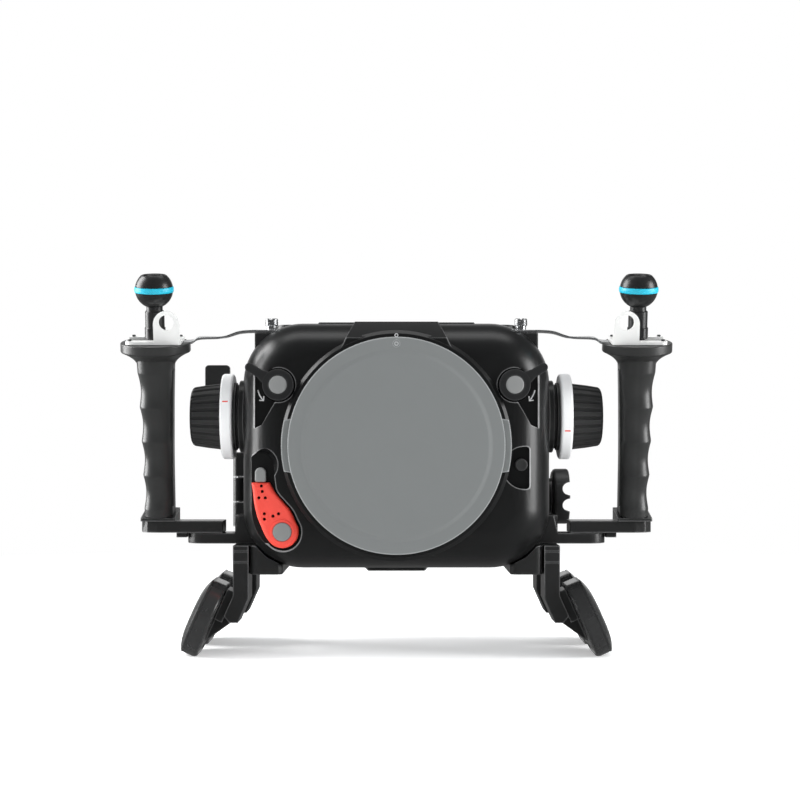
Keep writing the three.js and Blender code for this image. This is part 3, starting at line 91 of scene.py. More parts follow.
# Port, ring and cap
BOSS_RADIUS, BOSS_CHAMFER, MOUTH_RADIUS = 75.0, 2.2, 60.0
RING_RADIUS, RING_DEPTH, RING_NOTCH, RING_NOTCH_DEPTH = 66.0, 12.0, 16.0, 2.4
CAP_RADIUS, CAP_THICKNESS, CAP_EDGE = 70.0, 10.5, 1.6
CAP_FACE_RADIUS, CAP_FACE_RISE = 60.5, 0.9
CAP_TAB_REACH, CAP_TAB_THICKNESS, CAP_TAB_ANGLE, CAP_TAB_SLOPE = 4.4, 5.0, 15.0, 2.0
CAP_PLUG_DEPTH, CAP_PLUG_WALL, CAP_SEAL_WIDTH, CAP_SEAL_DEPTH = 9.0, 5.0, 2.6, 1.8
CAP_FRONT, CAP_SOFT = -GAP - CAP_THICKNESS, 0.8
CAP_MARK_Z, CAP_MARK_DEPTH, CAP_MARK_OUTER, CAP_MARK_INNER, CAP_MARK_DOT = 65.6, 0.5, 2.2, 1.5, 0.7

# Facet above the port
FACET_TOP_HALF, FACET_FOOT_HALF, FACET_TOP_Y = 27.5, 41.0, 27.0
FACET_FOOT_Z, FACET_FRONT_Z = 52.0, 70.0
INDEX_Z, INDEX_OUTER, INDEX_INNER = 71.6, 1.25, 0.75

# Port locks
LOCK_X, LOCK_Z, LOCK_HUB, LOCK_DISC, LOCK_DISC_RISE = 76.8, 39.5, 10.2, 5.8, 0.7
LOCK_FRONT, LOCK_THICKNESS, LOCK_STEM, LOCK_STEM_LENGTH = -1.0, 6.0, 3.5, 9.0
LOCK_ARM_REACH, LOCK_ARM_WIDTH, LOCK_ARM_ANGLE, LOCK_ARM_THICKNESS = 24.5, 5.8, 31.5, 3.3
LOCK_EDGE, LOCK_TOP, LOCK_FOOT, LOCK_FLOOR = 92.6, 46.4, 11.5, 15.0
LOCK_SLANT = ((0.85, 0.6), (0.6, 0.36), (0.3, 0.07))
# Width and depth of the near-black ring that paints the shade in the gap round a lock hub
LOCK_SHADE, LOCK_SHADE_DEPTH = 0.95, 0.1
DISC_RIM = ((1.2, 0), (0.4, -0.12), (0, -0.35))
ARROW_RADIUS, ARROW_FROM, ARROW_TO, ARROW_WIDTH = 14.4, -12, -44, 0.8

# Record lever
REC_X, REC_Z, REC_LOBE, REC_FRONT, REC_THICKNESS = 74.3, 56.1, 10.7, 5.0, 8.0
REC_TOP_WIDTH, REC_TOP_RISE, REC_TOP_SHIFT = 11.6, 32.1, 14.3
REC_COLLAR, REC_COLLAR_RISE, REC_DISC, REC_SEAT = 8.6, 1.0, 6.0, 2.0
REC_STEM, REC_TIP_WIDTH, REC_TIP_RISE, REC_TIP_THICKNESS = 4.0, 7.2, 9.8, 6.0
REC_RIM, REC_ARCH, REC_ARCH_RISE, REC_SLOPE = 1.9, 10.8, 43.6, 2.6
REC_OUTER = ((0.1, 0.79), (0.19, 0.57), (0.37, 0.33), (0.65, 0.11), (0.98, -0.1))
REC_INNER = ((0.71, 0.44), (0.44, 0.63), (0.21, 0.79))
REC_COLLAR_RIM = ((1.5, 0), (0.6, -0.4))
REC_BACK = REC_FRONT + REC_THICKNESS
REC_FLOOR = REC_BACK + 2.0
REC_EDGE = ((0, 2.6), (0.35, 1.6), (1.0, 0.8), (1.9, 0.3), (3.0, 0))
REC_PIT = 1.05
REC_PITS = ((-13.6, 29.9), (-13.0, 26.3), (-15.2, 22.2), (-11.0, 22.2),
            (-11.6, 11.8), (-11.6, 8.3), (-6.0, 10.3), (-2.4, 11.8))

# Lens release button
LENS_X, LENS_Z, LENS_RADIUS, LENS_HEIGHT, LENS_STEM = 81.2, -12.4, 4.0, 6.0, 2.2
LENS_POCKET, LENS_POCKET_SHIFT, LENS_POCKET_DROP = 13.8, 2.1, -2.0
LENS_POCKET_REACH, LENS_POCKET_CORNER, LENS_POCKET_FLOOR = 3.4, 2.0, 12.0
LENS_RIM, LENS_EDGE, LENS_DISH = ((1.6, -0.2), (0.7, 0)), 0.6, 0.25

# Side knobs
KNOB_Y, KNOB_Z, KNOB_BASE, KNOB_BASE_THICKNESS = 60.0, 19.7, 24.5, 5.6
KNOB_GRIP, KNOB_TIP, KNOB_END, KNOB_EDGE, KNOB_RIBS = 22.9, 20.0, 138.9, 2.6, 24
RING_OUTER, RING_WIDTH, RING_EDGE, RING_STANDOFF = 29.0, 8.1, 1.8, 2.0
KNOB_SHAFT, KNOB_SHAFT_INSIDE, KNOB_GEAR, KNOB_GEAR_WIDTH = 5.5, 14.0, 11.0, 7.0
BASE_OUTER = HALF_WIDTH + GAP + KNOB_BASE_THICKNESS
RING_NEAR = BASE_OUTER + RING_STANDOFF
RING_FAR = RING_NEAR + RING_WIDTH
KNOB_STEPS = ((0, 0, 0.9), (0.06, 0, 1.4), (0.5, 0.2, 1.5),
              (0.9, 0, 1.5), (0.96, -0.9, 1.2), (1, -KNOB_EDGE, 0.3))
TICK_HALF, TICK_NEAR, TICK_FAR, TICK_PROUD, TICK_ROOT = 0.45, 2.4, 2.0, 0.05, 0.3
TICK_ANGLES = {-1: 70.5, 1: 110}
KNOB_BASE_RIM = ((0, 2.2), (0.5, 1.8), (2.4, 1.8), (2.8, 0.4), (3.2, 0))
KNOB_TEETH, KNOB_TOOTH = 16, 1.8

# Thumb paddle and latch
PADDLE_OUTER, PADDLE_INNER, PADDLE_TOP, PADDLE_FOOT = 134.3, 117.0, 56.3, 12.0
PADDLE_Y, PADDLE_THICKNESS, PADDLE_BOSS, PADDLE_SHAFT = 98.0, 5.0, 8.0, 4.0
LATCH_Y, LATCH_Z, LATCH_RADIUS, LATCH_BOSS, LATCH_BOSS_HEIGHT = 116.0, -36.3, 19.6, 13.0, 8.0
LATCH_THICKNESS, LATCH_FIN, LATCH_WELL, LATCH_WELL_DEPTH = 11.8, 2.2, 4.6, 5.4
LATCH_STEM, LATCH_STEM_LENGTH = 4.0, 9.0
LATCH_INNER_RIM = ((2.4, 0), (0.6, -1.2), (0, -2.6))
LATCH_OUTER_RIM = ((0, 1.6), (0.5, 0.5), (1.4, 0))
LATCH_NEAR = HALF_WIDTH + LATCH_BOSS_HEIGHT + GAP

# Rear door and hinge
DOOR_DEPTH, DOOR_PILLOW, DOOR_WALL = 30.0, 9.0, 8.0
DOOR_BACK = PARTING_Y + DOOR_DEPTH
HINGE_X, HINGE_PIN, HINGE_KNUCKLE, HINGE_TOP, HINGE_FOOT, HINGE_ARM = 113.0, 2.0, 4.4, -5.0, -58.5, 9.0
KNUCKLES = 3
SEAL_WIDTH, SEAL_DEPTH = 3.0, 2.6
WINDOW_HALF, WINDOW_X, WINDOW_CORNER, WINDOW_LEDGE = (61.0, 42.0), 20.0, 6.0, 4.0
WINDOW_THICKNESS, WINDOW_SINK = 4.0, 0.8
REAR_X, REAR_BUTTON, REAR_RISE, REAR_STEM = -74.0, 4.5, 3.5, 2.2
REAR_BUTTON_Z = (53.0, 38.0, 23.0)
REAR_EDGE, REAR_DISH, REAR_DISH_DEPTH = 0.7, 2.8, 0.4
DIAL_RADIUS, DIAL_RISE, DIAL_SHAFT, DIAL_Z, DIAL_NOTCHES = 14.0, 5.0, 3.0, -6.0, 20

# Top fittings
PLUG_X, PLUG_Y, PLUG_RADIUS, PLUG_TOP = 72.0, 62.0, 9.5, 81.9
PLUG_ROOT, PLUG_ROOT_RADIUS, PLUG_EDGE, PLUG_DISH = 12.0, 7.0, 1.4, 0.3
PLUG_RIM = ((0, PLUG_EDGE), (0.4, 0.4), (PLUG_EDGE, 0), (3, 0), (3.2, PLUG_DISH))
POST_X, POST_WIDTH, POST_DEPTH, POST_TOP = 83.5, 22.0, 15.0, 75.4
POST_ROOT, POST_WALL, POST_CORNER = 24.0, 3.5, 1.4
STAY_Y, STAY_WIDTH, STAY_THICKNESS, STAY_DIP, STAY_BEND = 41.0, 12.0, 1.6, -4.2, 0.3
STAY_BENDS = (0.112, 0.509, 0.79)
THUMB_HEAD, THUMB_COLLAR, THUMB_HEIGHT, THUMB_EDGE, THUMB_KNURL = 4.2, 3.4, 5.0, 0.5, 0.35
THUMB_NECK, THUMB_NECK_HEIGHT, THUMB_STUD = 2.6, 2.4, 5.5

# Handles
HANDLE_X, HANDLE_Y, HANDLE_TILT, ARM_TOP = 160.6, 60.0, math.radians(12), -50.8
GRIP_START, GRIP_LENGTH, GRIP_FOOT, GRIP_HEAD, GRIP_DEPTH = 5.3, 106.4, 19.2, 24.8, 31.0
FLANGE_RADIUS, FLANGE_THICKNESS, FLANGE_CONE = 23.3, 6.4, 4.4
NECK_FILLET, NECK_INSET, NECK_CURVE = 8.0, 0.4, 2.6
ARM_CORNER = 4.0
GRIP_TOP = GRIP_START + GRIP_LENGTH + FLANGE_CONE + FLANGE_THICKNESS
FINGER_FROM, FINGER_TO, FINGER_FIRST, FINGER_PITCH, FINGER_DEPTH = 0.048, 0.92, 0.157, 0.218, 3.0
FINGER_AIM = (0.34, -0.94)
SPINE_Y, SPINE_HALF = -3.0, 4.2
PLATE_FOOT = GRIP_TOP + GAP
PLATE_HALF, PLATE_HALF_DEPTH, PLATE_THICKNESS, PLATE_CORNER = 18.35, 15.0, 2.0, 4.0
PLATE_TOP = PLATE_FOOT + PLATE_THICKNESS
PLATE_CORNERS = (("inner_front", -1, -1), ("inner_rear", -1, 1), ("outer_front", 1, -1), ("outer_rear", 1, 1))
SCREW_RADIUS, SCREW_HEIGHT, SCREW_INSET, SCREW_SHIFT = 1.3, 1.1, 2.6, 5.0
SLOT_WIDTH, SLOT_INNER, SLOT_DEPTH = 14.4, 9.0, 2.4
EAR_SHIFT, EAR_HALF, EAR_HEIGHT, EAR_HOLE, EAR_HOLE_RISE = 9.3, 8.7, 20.5, 5.0, 12.8
BALL_RADIUS, BALL_FLAT, BALL_DISH, BALL_DISH_DEPTH, BALL_NECK = 12.6, 9.7, 7.3, 1.6, 5.4
BALL_COLLAR, BALL_COLLAR_LENGTH, BALL_FOOT, BALL_FOOT_LENGTH = 6.4, 11.0, 6.9, 7.5
BALL_STUD, BALL_STUD_LENGTH, BALL_RING_WIDTH, BALL_RING_DEPTH, BALL_RING_PROUD = 5.0, 8.0, 3.7, 2.4, 0.5
BALL_SOFT, BALL_COLLAR_SOFT, BALL_KEY = 0.4, 0.5, 0.8
BALL_CENTRE = PLATE_TOP + 33.0

# Foot pads
RAIL_FRONT, LEG_WIDTH, LEG_PITCH, LEG_SPLAY = 28.0, 30.0, 70.0, math.radians(24)
LEG_OUTER, LEG_KINK, LEG_SEAMS = 108.5, -99.6, (-70.2, -77.4)
LEG_SEAM_HALF, LEG_SEAM_DEPTH = 0.3, 0.6
PAD_STANDOFF, PAD_THICKNESS, PAD_HEIGHT, PAD_LENGTH, PAD_CENTRE_Z = 5.2, 14.5, 52.0, 69.4, -114.29
PAD_CORNER, PAD_EDGE, PAD_CROWN, PAD_CROWN_SPAN = 24.0, 2.0, 3.5, 0.55
PAD_GROOVE = ((6, 0), (5, 0), (4.4, 0.7), (1.2, 0.7), (0.6, 0))
PAD_SEAM = ((0, 2.0), (0.35, 1.7), (0.35, 1.2), (0, 0.9))

# Steps along curves
FINE, ROUND, SMALL, TINY = 128, 64, 32, 16
CORNER_STEPS, SMALL_STEPS, PILLOW_STEPS = 16, 8, 14

# Mottling of the finishes, and their edges lightened partly as wear and partly as a painted highlight
CLOUDS, WEAR_GLINT_PATCHES, WEAR_GLINT_REACH, WEAR_GLINT_FROM, WEAR_GLINT_FULL = 45, 160, 1.4, 0.84, 0.58

# Light, floor and camera, in metres
LEFT_SHARE = 2.1
LAMPS = (
    ("left_strip", (-1.2, 0.2, 0.5), (0, 0, 0.2), (0.8, 1.6)),
    ("right_strip", (1.2, -0.3, 0.25), (0, 0, 0.2), (0.55, 1.2)),
    ("top_panel", (0, 0.1, 1.4), (0, 0, 0.1), (1.3, 0.5)),
)
BACK_FROM, BACK_FULL = 0.82, 0.96
FLOOR_NEAR, FLOOR_FAR, FLOOR_LIFT, FLOOR_MIRRORED = 0.35, 1.1, 0.36, 0.22
FLOOR_RADIUS, FLOOR_THICKNESS = 9.0, 0.004
WHITE, COOL_WHITE, PALE = (1, 1, 1, 1), (0.96, 0.98, 1, 1), (0.86, 0.86, 0.86, 1)
CAMERA_PLACE, CAMERA_SHIFT, SENSOR = (0, -1.239, 0.1431), (0.0045, 0.05), 36.0

PORT_LOW, PORT_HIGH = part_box("port_cap")
CENTRE = Vector((0, PORT_LOW.y + (CAP_THICKNESS + CAP_FACE_RISE + GAP) * MM, (PORT_LOW.z + PORT_HIGH.z) / 2))
TO_FRAME = Matrix.Translation(CENTRE) @ Matrix.Scale(MM, 4)
ON_HANDLE = Matrix.Translation((HANDLE_X, HANDLE_Y, ARM_TOP)) @ Matrix.Rotation(HANDLE_TILT, 4, "X")


# Outlines

def mix(start, end, share):
    return start + (end - start) * share


def arc(x, y, radius, start, end, steps):
    """Points of an arc between two angles in degrees."""
    angles = [math.radians(mix(start, end, step / steps)) for step in range(steps + 1)]
    return [(x + radius * math.cos(a), y + radius * math.sin(a)) for a in angles]


def circle(radius, sides, x=0.0, y=0.0):
    return arc(x, y, radius, 0, 360, sides)[:-1]


def rounded(half_width, half_height, radius, steps=CORNER_STEPS):
    """A rectangle with round corners."""
    points = []
    for quarter, (u, v) in enumerate(((1, 1), (-1, 1), (-1, -1), (1, -1))):
        x, y = u * (half_width - radius), v * (half_height - radius)
        points += arc(x, y, radius, quarter * 90, quarter * 90 + 90, steps)
    return points


def rim(radius, height, steps):
    """Profile points at (inset, drop) steps from a corner."""
    return [(radius - inset, height - drop) for inset, drop in steps]


def moved(points, x, y):
    return [(u + x, v + y) for u, v in points]


def flipped(points, side):
    return [(side * u, v) for u, v in points]


def smooth(points, steps=6):
    """A round curve through points, without the first and the last of them."""
    curve = []
    for a, b, c, d in zip(points, points[1:], points[2:], points[3:]):
        for step in range(steps):
            t = step / steps
            curve.append(tuple(
                0.5 * (2 * q + (r - p) * t + (2 * p - 5 * q + 4 * r - s) * t * t
                       + (3 * q - p - 3 * r + s) * t ** 3)
                for p, q, r, s in zip(a, b, c, d)))
    return curve + [points[-2]]


# Meshes

def mesh_from(verts, faces):
    """A closed mesh with shared corners and outward faces."""
    bm = bmesh.new()
    made = [bm.verts.new(v) for v in verts]
    for face in faces:
        corners = [made[i] for i in face]
        if len(set(corners)) > 2:
            bm.faces.new(dict.fromkeys(corners))
    bmesh.ops.remove_doubles(bm, verts=bm.verts, dist=0.0008)
    bmesh.ops.dissolve_degenerate(bm, edges=bm.edges, dist=0.0004)
    bmesh.ops.recalc_face_normals(bm, faces=bm.faces)
    mesh = bpy.data.meshes.new("draft")
    bm.to_mesh(mesh)
    bm.free()
    return mesh


def loft(rings):
    """A closed skin through rings of equal point counts."""
    count = len(rings[0])
    verts = [point for ring in rings for point in ring]
    faces = []
    for r in range(len(rings) - 1):
        for i in range(count):
            a, b = r * count + i, r * count + (i + 1) % count
            faces.append((a, b, b + count, a + count))
    faces += [tuple(range(count)), tuple(range(len(verts) - count, len(verts)))]
    return mesh_from(verts, faces)


AXES = {
    "x": lambda u, v, w: (w, u, v),
    "y": lambda u, v, w: (u, w, v),
    "z": lambda u, v, w: (u, v, w),
}


def slab(outline, low, high, axis="y"):
    """An outline pushed along an axis from one plane to another."""
    place = AXES[axis]
    return loft([[place(u, v, w) for u, v in outline] for w in (low, high)])


def block(low, high):
    (x, y, z), (p, q, r) = low, high
    return slab([(x, y), (p, y), (p, q), (x, q)], z, r, "z")


def turned(profile, axis, sides=ROUND):
    """A profile of (radius, height) points turned about an axis."""
    place = AXES[axis]
    ring = profile[0] == profile[-1]
    points = profile[:-1] if ring else profile
    verts, faces = [], []
    for radius, height in points:
        verts += [place(u, v, height) for u, v in circle(radius, sides)]
    for r in range(len(points) if ring else len(points) - 1):
        here, there = r * sides, (r + 1) % len(points) * sides
        for i in range(sides):
            j = (i + 1) % sides
            faces.append((here + i, here + j, there + j, there + i))
    return mesh_from(*poles(points, verts, faces, sides))


def poles(points, verts, faces, sides):
    """Folds each ring of no radius into its first corner."""
    keep = {}
    for r, (radius, _) in enumerate(points):
        for i in range(sides):
            keep[r * sides + i] = r * sides if radius == 0 else r * sides + i
    return verts_used(verts, [tuple(keep[i] for i in face) for face in faces])


def verts_used(verts, faces):
    used = sorted({i for face in faces for i in face})
    index = {old: new for new, old in enumerate(used)}
    return [verts[i] for i in used], [tuple(index[i] for i in face) for face in faces]


def rod(radius, start, end, axis, sides=SMALL):
    return turned([(0, start), (radius, start), (radius, end), (0, end)], axis, sides)


def tube(outer, inner, start, end, axis, sides=ROUND):
    profile = [(inner, start), (outer, start), (outer, end), (inner, end), (inner, start)]
    return turned(profile, axis, sides)


def shifted(mesh, x=0.0, y=0.0, z=0.0):
    mesh.transform(Matrix.Translation((x, y, z)))
    return mesh


def spun(mesh, angle, axis):
    mesh.transform(Matrix.Rotation(angle, 4, axis.upper()))
    return mesh


def mirrored(mesh):
    mesh.transform(Matrix.Scale(-1, 4, (1, 0, 0)))
    mesh.flip_normals()
    return mesh


def linked(name, data):
    """An object in the scene."""
    thing = bpy.data.objects.new(name, data)
    bpy.context.scene.collection.objects.link(thing)
    return thing


def evaluated(mesh, *steps):
    """The mesh after a stack of modifiers, each given as (type, settings)."""
    thing = linked("bench", mesh)
    tools = []
    for kind, settings in steps:
        modifier = thing.modifiers.new(kind, kind)
        for key, value in settings.items():
            if isinstance(value, bpy.types.Mesh):
                value = linked("tool", value)
                tools.append(value)
            setattr(modifier, key, value)
    graph = bpy.context.evaluated_depsgraph_get()
    out = bpy.data.meshes.new_from_object(thing.evaluated_get(graph))
    for used in [thing, *tools]:
        bpy.data.objects.remove(used)
    return out


def carved(base, *tools, how="DIFFERENCE"):
    steps = [("BOOLEAN", {"object": t, "operation": how, "solver": "MANIFOLD"}) for t in tools]
    return tidied(evaluated(base, *steps))


def fused(base, *tools):
    return carved(base, *tools, how="UNION")


def tidied(mesh, reach=0.02):
    """Drops slivers that a boolean leaves, and joins flat neighbours."""
    bm = bmesh.new()
    bm.from_mesh(mesh)
    bmesh.ops.remove_doubles(bm, verts=bm.verts, dist=reach)
    bmesh.ops.dissolve_degenerate(bm, edges=bm.edges, dist=reach)
    bmesh.ops.dissolve_limit(bm, angle_limit=math.radians(0.6), verts=bm.verts, edges=bm.edges)
    bm.to_mesh(mesh)
    bm.free()
    return mesh


def softened(mesh, width, segments=2, angle=32):
    """Rounds the sharp edges of a mesh."""
    return evaluated(mesh, ("BEVEL", {
        "width": width, "segments": segments, "limit_method": "ANGLE",
        "angle_limit": math.radians(angle), "use_clamp_overlap": True, "miter_outer": "MITER_ARC",
    }))


def shaded(mesh, angle=40):
    """Smooth faces, with the edges over an angle kept sharp and normals led by large faces."""
    bm = bmesh.new()
    bm.from_mesh(mesh)
    for face in bm.faces:
        face.smooth = True
    for edge in bm.edges:
        edge.smooth = edge.is_manifold and edge.calc_face_angle(0) < math.radians(angle)
    bm.to_mesh(mesh)
    bm.free()
    return evaluated(mesh, ("WEIGHTED_NORMAL", {"keep_sharp": True, "weight": 50}))


# Pieces

def placed(name, mesh, body, material, hidden=(), side=1, on_handle=False):
    """A finished piece: in the frame, on its body, with its finish."""
    if on_handle:
        mesh.transform(ON_HANDLE)
    if side < 0:
        mirrored(mesh)
    mesh.transform(TO_FRAME)
    mesh = shaded(mesh)
    mesh.name = name
    mesh.materials.clear()
    mesh.materials.append(material)
    piece = linked(name, mesh)
    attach(piece, body)
    if hidden:
        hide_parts(*hidden)
    return piece


def dress(node, mesh, side=1, on_handle=False, look=None):
    """A finer form in the place of a CAD node."""
    slot = SLOT_OF[node]
    return placed(node + "_form", mesh, BODY_OF[node], finish(look or slot), (node,), side, on_handle)


def add_to(node, name, mesh, slot, side=1, on_handle=False, look=None):
    """A small extra piece that rides with a CAD node."""
    return placed(name, mesh, BODY_OF[node], finish(look or slot), (), side, on_handle)


def upright_rounded(mesh, radius, steps=6):
    """The upright corners of a mesh, rounded."""
    bm = bmesh.new()
    bm.from_mesh(mesh)
    bm.normal_update()
    corners = []
    for edge in bm.edges:
        along = (edge.verts[1].co - edge.verts[0].co).normalized()
        if abs(along.z) > 0.99 and edge.is_manifold and edge.calc_face_angle_signed() > 0.3:
            corners.append(edge)
    bmesh.ops.bevel(bm, geom=corners, offset=radius, segments=steps, profile=0.5,
                    affect="EDGES", clamp_overlap=True)
    bm.to_mesh(mesh)
    bm.free()
    return mesh


def plain(node):
    """A CAD node's mesh in millimetres, with its flat faces joined."""
    mesh = frame["nodes"][node].data.copy()
    mesh.transform(TO_FRAME.inverted())
    bm = bmesh.new()
    bm.from_mesh(mesh)
    bmesh.ops.remove_doubles(bm, verts=bm.verts, dist=0.01)
    bmesh.ops.dissolve_limit(bm, angle_limit=math.radians(1), verts=bm.verts, edges=bm.edges)
    bm.to_mesh(mesh)
    bm.free()
    return mesh


def refined(node, width=0.6, segments=2, angle=32):
    """A CAD node with its flat faces joined and its edges rounded."""
    return softened(plain(node), width, segments, angle)


SIDES = (("left", -1), ("right", 1))


# Materials

def new_tree(name):
    material = bpy.data.materials.new(name)
    material.use_nodes = True
    tree = material.node_tree
    return material, tree, tree.nodes["Principled BSDF"]


def node(tree, kind, inputs=(), **settings):
    made = tree.nodes.new(kind)
    for key, value in settings.items():
        setattr(made, key, value)
    for key, value in dict(inputs).items():
        if isinstance(value, bpy.types.NodeSocket):
            tree.links.new(value, made.inputs[key])
        else:
            made.inputs[key].default_value = value
    return made


def noise(tree, scale, detail=2.0, roughness=0.5, stretch=(1, 1, 1)):
    coords = node(tree, "ShaderNodeTexCoord").outputs["Object"]
    mapped = node(tree, "ShaderNodeMapping", {"Vector": coords, "Scale": stretch}).outputs["Vector"]
    made = node(tree, "ShaderNodeTexNoise", {
        "Vector": mapped, "Scale": scale, "Detail": detail, "Roughness": roughness,
    })
    return made.outputs["Fac"]


def ranged(tree, value, low, high, out_low, out_high):
    return node(tree, "ShaderNodeMapRange", {
        "Value": value, "From Min": low, "From Max": high, "To Min": out_low, "To Max": out_high,
    }).outputs["Result"]


def multiplied(tree, a, b):
    return node(tree, "ShaderNodeMath", {0: a, 1: b}, operation="MULTIPLY").outputs["Value"]


def blended(tree, share, a, b):
    made = node(tree, "ShaderNodeMix", data_type="RGBA")
    for index, value in ((0, share), (6, a), (7, b)):
        if isinstance(value, bpy.types.NodeSocket):
            tree.links.new(value, made.inputs[index])
        else:
            made.inputs[index].default_value = value
    return made.outputs[2]


def tinted(colour, share):
    return tuple(min(1.0, max(0.0, c * share)) for c in colour[:3]) + (1.0,)


def surface(name, colour, rough, metal=0.0, specular=0.5, grain=1800, depth=0.03, mottle=0.12,
            spread=0.05, wear_and_glint=0.0, wear_glint_colour=(0.3, 0.3, 0.3, 1), stretch=(1, 1, 1)):
    """One finish: mottled colour, uneven gloss, a fine grain in relief, and convex edges lightened, partly as
    wear and partly as a painted highlight.
    """
    material, tree, shader = new_tree(name)
    clouds = noise(tree, CLOUDS, 4, 0.6)
    base = blended(tree, clouds, tinted(colour, 1 - mottle), tinted(colour, 1 + mottle))
    # Convex edges, found by occlusion inside the surface, get a lighter colour: partly wear, partly a painted
    # highlight standing in for the rim light that edges catch.
    if wear_and_glint:
        thin = node(tree, "ShaderNodeAmbientOcclusion", {"Distance": WEAR_GLINT_REACH * MM},
                    inside=True, only_local=True, samples=16)
        edge = ranged(tree, thin.outputs["AO"], WEAR_GLINT_FROM, WEAR_GLINT_FULL, 0, 1)
        patches = ranged(tree, noise(tree, WEAR_GLINT_PATCHES, 3, 0.7), 0.3, 0.6, wear_and_glint * 0.7, wear_and_glint)
        base = blended(tree, multiplied(tree, edge, patches), base, wear_glint_colour)
    tree.links.new(base, shader.inputs["Base Color"])
    streaks = noise(tree, grain / 6, 3, 0.6, stretch)
    gloss = ranged(tree, streaks, 0.3, 0.7, rough - spread, rough + spread)
    tree.links.new(gloss, shader.inputs["Roughness"])
    relief = node(tree, "ShaderNodeBump", {
        "Height": noise(tree, grain, 2, 0.5, stretch), "Strength": 0.5, "Distance": depth * MM,
    })
    tree.links.new(relief.outputs["Normal"], shader.inputs["Normal"])
    shader.inputs["Metallic"].default_value = metal
    shader.inputs["Specular IOR Level"].default_value = specular
    return material


def glass(name, colour):
    material, tree, shader = new_tree(name)
    shader.inputs["Base Color"].default_value = colour
    shader.inputs["Transmission Weight"].default_value = 1.0
    shader.inputs["IOR"].default_value = 1.49
    haze = ranged(tree, noise(tree, 60, 4), 0.4, 0.7, 0.02, 0.06)
    tree.links.new(haze, shader.inputs["Roughness"])
    return material


MADE = {}


# Colour, roughness and what departs from a plain surface, for each slot and small mark; the edge lightening
# is partly wear and partly a painted highlight
FINISHES = {
    "shell_black": ("shell", 0.32, dict(specular=0.45, grain=2600, depth=0.004, mottle=0.05, spread=0.01,
                                        wear_and_glint=0.55, wear_glint_colour=(0.42, 0.42, 0.42, 1))),
    "arm_black": ("arms", 0.32, dict(specular=0.45, grain=2600, depth=0.006, mottle=0.06, spread=0.02,
                                     wear_and_glint=0.4)),
    "ball_black": ("balls", 0.32, dict(specular=0.5, grain=2600, depth=0.001, mottle=0.04, spread=0.01)),
    "inner_metal": ("inner", 0.4, dict(metal=0.8)),
    "lever_black": ("levers", 0.4, dict(specular=0.4, grain=2200, depth=0.01, mottle=0.05, spread=0.02,
                                        wear_and_glint=0.1)),
    "cap_grey": ("cap", 0.42, dict(specular=0.4, grain=1700, depth=0.03, mottle=0.02,
                                   wear_and_glint=0.6, wear_glint_colour=(0.6, 0.61, 0.61, 1))),
    "disc_grey": ("discs", 0.45, dict(mottle=0.03)),
    "lever_red": ("record", 0.36, dict(mottle=0.05, depth=0.02)),
    "ring_white": ("rings", 0.45, dict(mottle=0.02)),
    "control_black": ("controls", 0.4, dict(specular=0.45, grain=1600, depth=0.01, mottle=0.05,
                                            spread=0.02, wear_and_glint=0.12)),
    "knob_rubber": ("rubber", 0.5, dict(specular=0.45, grain=1300, depth=0.03, wear_and_glint=0.2)),
    "grip_rubber": ("grips", 0.36, dict(specular=0.55, grain=900, depth=0.015, spread=0.03)),
    "pad_rubber": ("rubber", 0.26, dict(specular=0.6, grain=1100, depth=0.006, spread=0.02, wear_and_glint=0.12)),
    "seal_black": ("rubber", 0.5, {}),
    "seal_blue": ("seals", 0.4, dict(mottle=0.05)),
    "bright_steel": ("steel", 0.26, dict(metal=1.0, grain=2600, stretch=(1, 8, 8), mottle=0.06)),
    "plate_steel": ("plates", 0.34, dict(metal=0.2, grain=2600, stretch=(1, 8, 8), mottle=0.03)),
    "paint_white": ("marks", 0.5, dict(mottle=0.02)),
    "paint_red": ("record", 0.5, dict(mottle=0.02)),
    # A near-black finish that paints shade into the gaps round the lock hubs
    "dark_gap": ("gaps", 0.8, dict(specular=0.1)),
}


def finish(slot):
    """The material of a slot or of a small mark, made once."""
    if slot not in MADE:
        colours = bpy.context.scene.housing_colours
        if slot == "window_clear":
            MADE[slot] = glass(slot, colours.window)
        else:
            shade, rough, rest = FINISHES[slot]
            MADE[slot] = surface(slot, getattr(colours, shade), rough, **rest)
    return MADE[slot]


# Shell

def body_ring(inset, y):
    outline = rounded(HALF_WIDTH - inset, HALF_HEIGHT - inset, CORNER - inset)
    return [(x, y, z) for x, z in outline]


def pillow(depth, inset, edge_y, direction):
    """Rings that round a face of the body over to its side walls."""
    rings = []
    for step in range(PILLOW_STEPS + 1):
        angle = step / PILLOW_STEPS * math.pi / 2
        y = edge_y + direction * depth * (1 - math.cos(angle))
        rings.append(body_ring(inset * (1 - math.sin(angle)), y))
    return rings


def cavity(wall, steps=CORNER_STEPS):
    return rounded(HALF_WIDTH - wall, HALF_HEIGHT - wall, CORNER - wall, steps)


def port_boss():
    back = CAVITY_Y
    profile = [(0, 0), (BOSS_RADIUS - BOSS_CHAMFER, 0), (BOSS_RADIUS, BOSS_CHAMFER),
               (BOSS_RADIUS, back), (0, back)]
    return turned(profile, "y", FINE)


def port_facet():
    top = HALF_HEIGHT + DECK_RISE
    back = FACET_TOP_Y + REACH
    front_view = [(-FACET_TOP_HALF, top), (-FACET_FOOT_HALF, FACET_FOOT_Z),
                  (FACET_FOOT_HALF, FACET_FOOT_Z), (FACET_TOP_HALF, top)]
    side_view = [(GAP, FACET_FOOT_Z), (back, FACET_FOOT_Z), (back, top),
                 (FACET_TOP_Y, top), (GAP, FACET_FRONT_Z)]
    side = slab(side_view, -FACET_FOOT_HALF - 1, FACET_FOOT_HALF + 1, "x")
    return carved(slab(front_view, -REACH, back + REACH), side, how="INTERSECT")


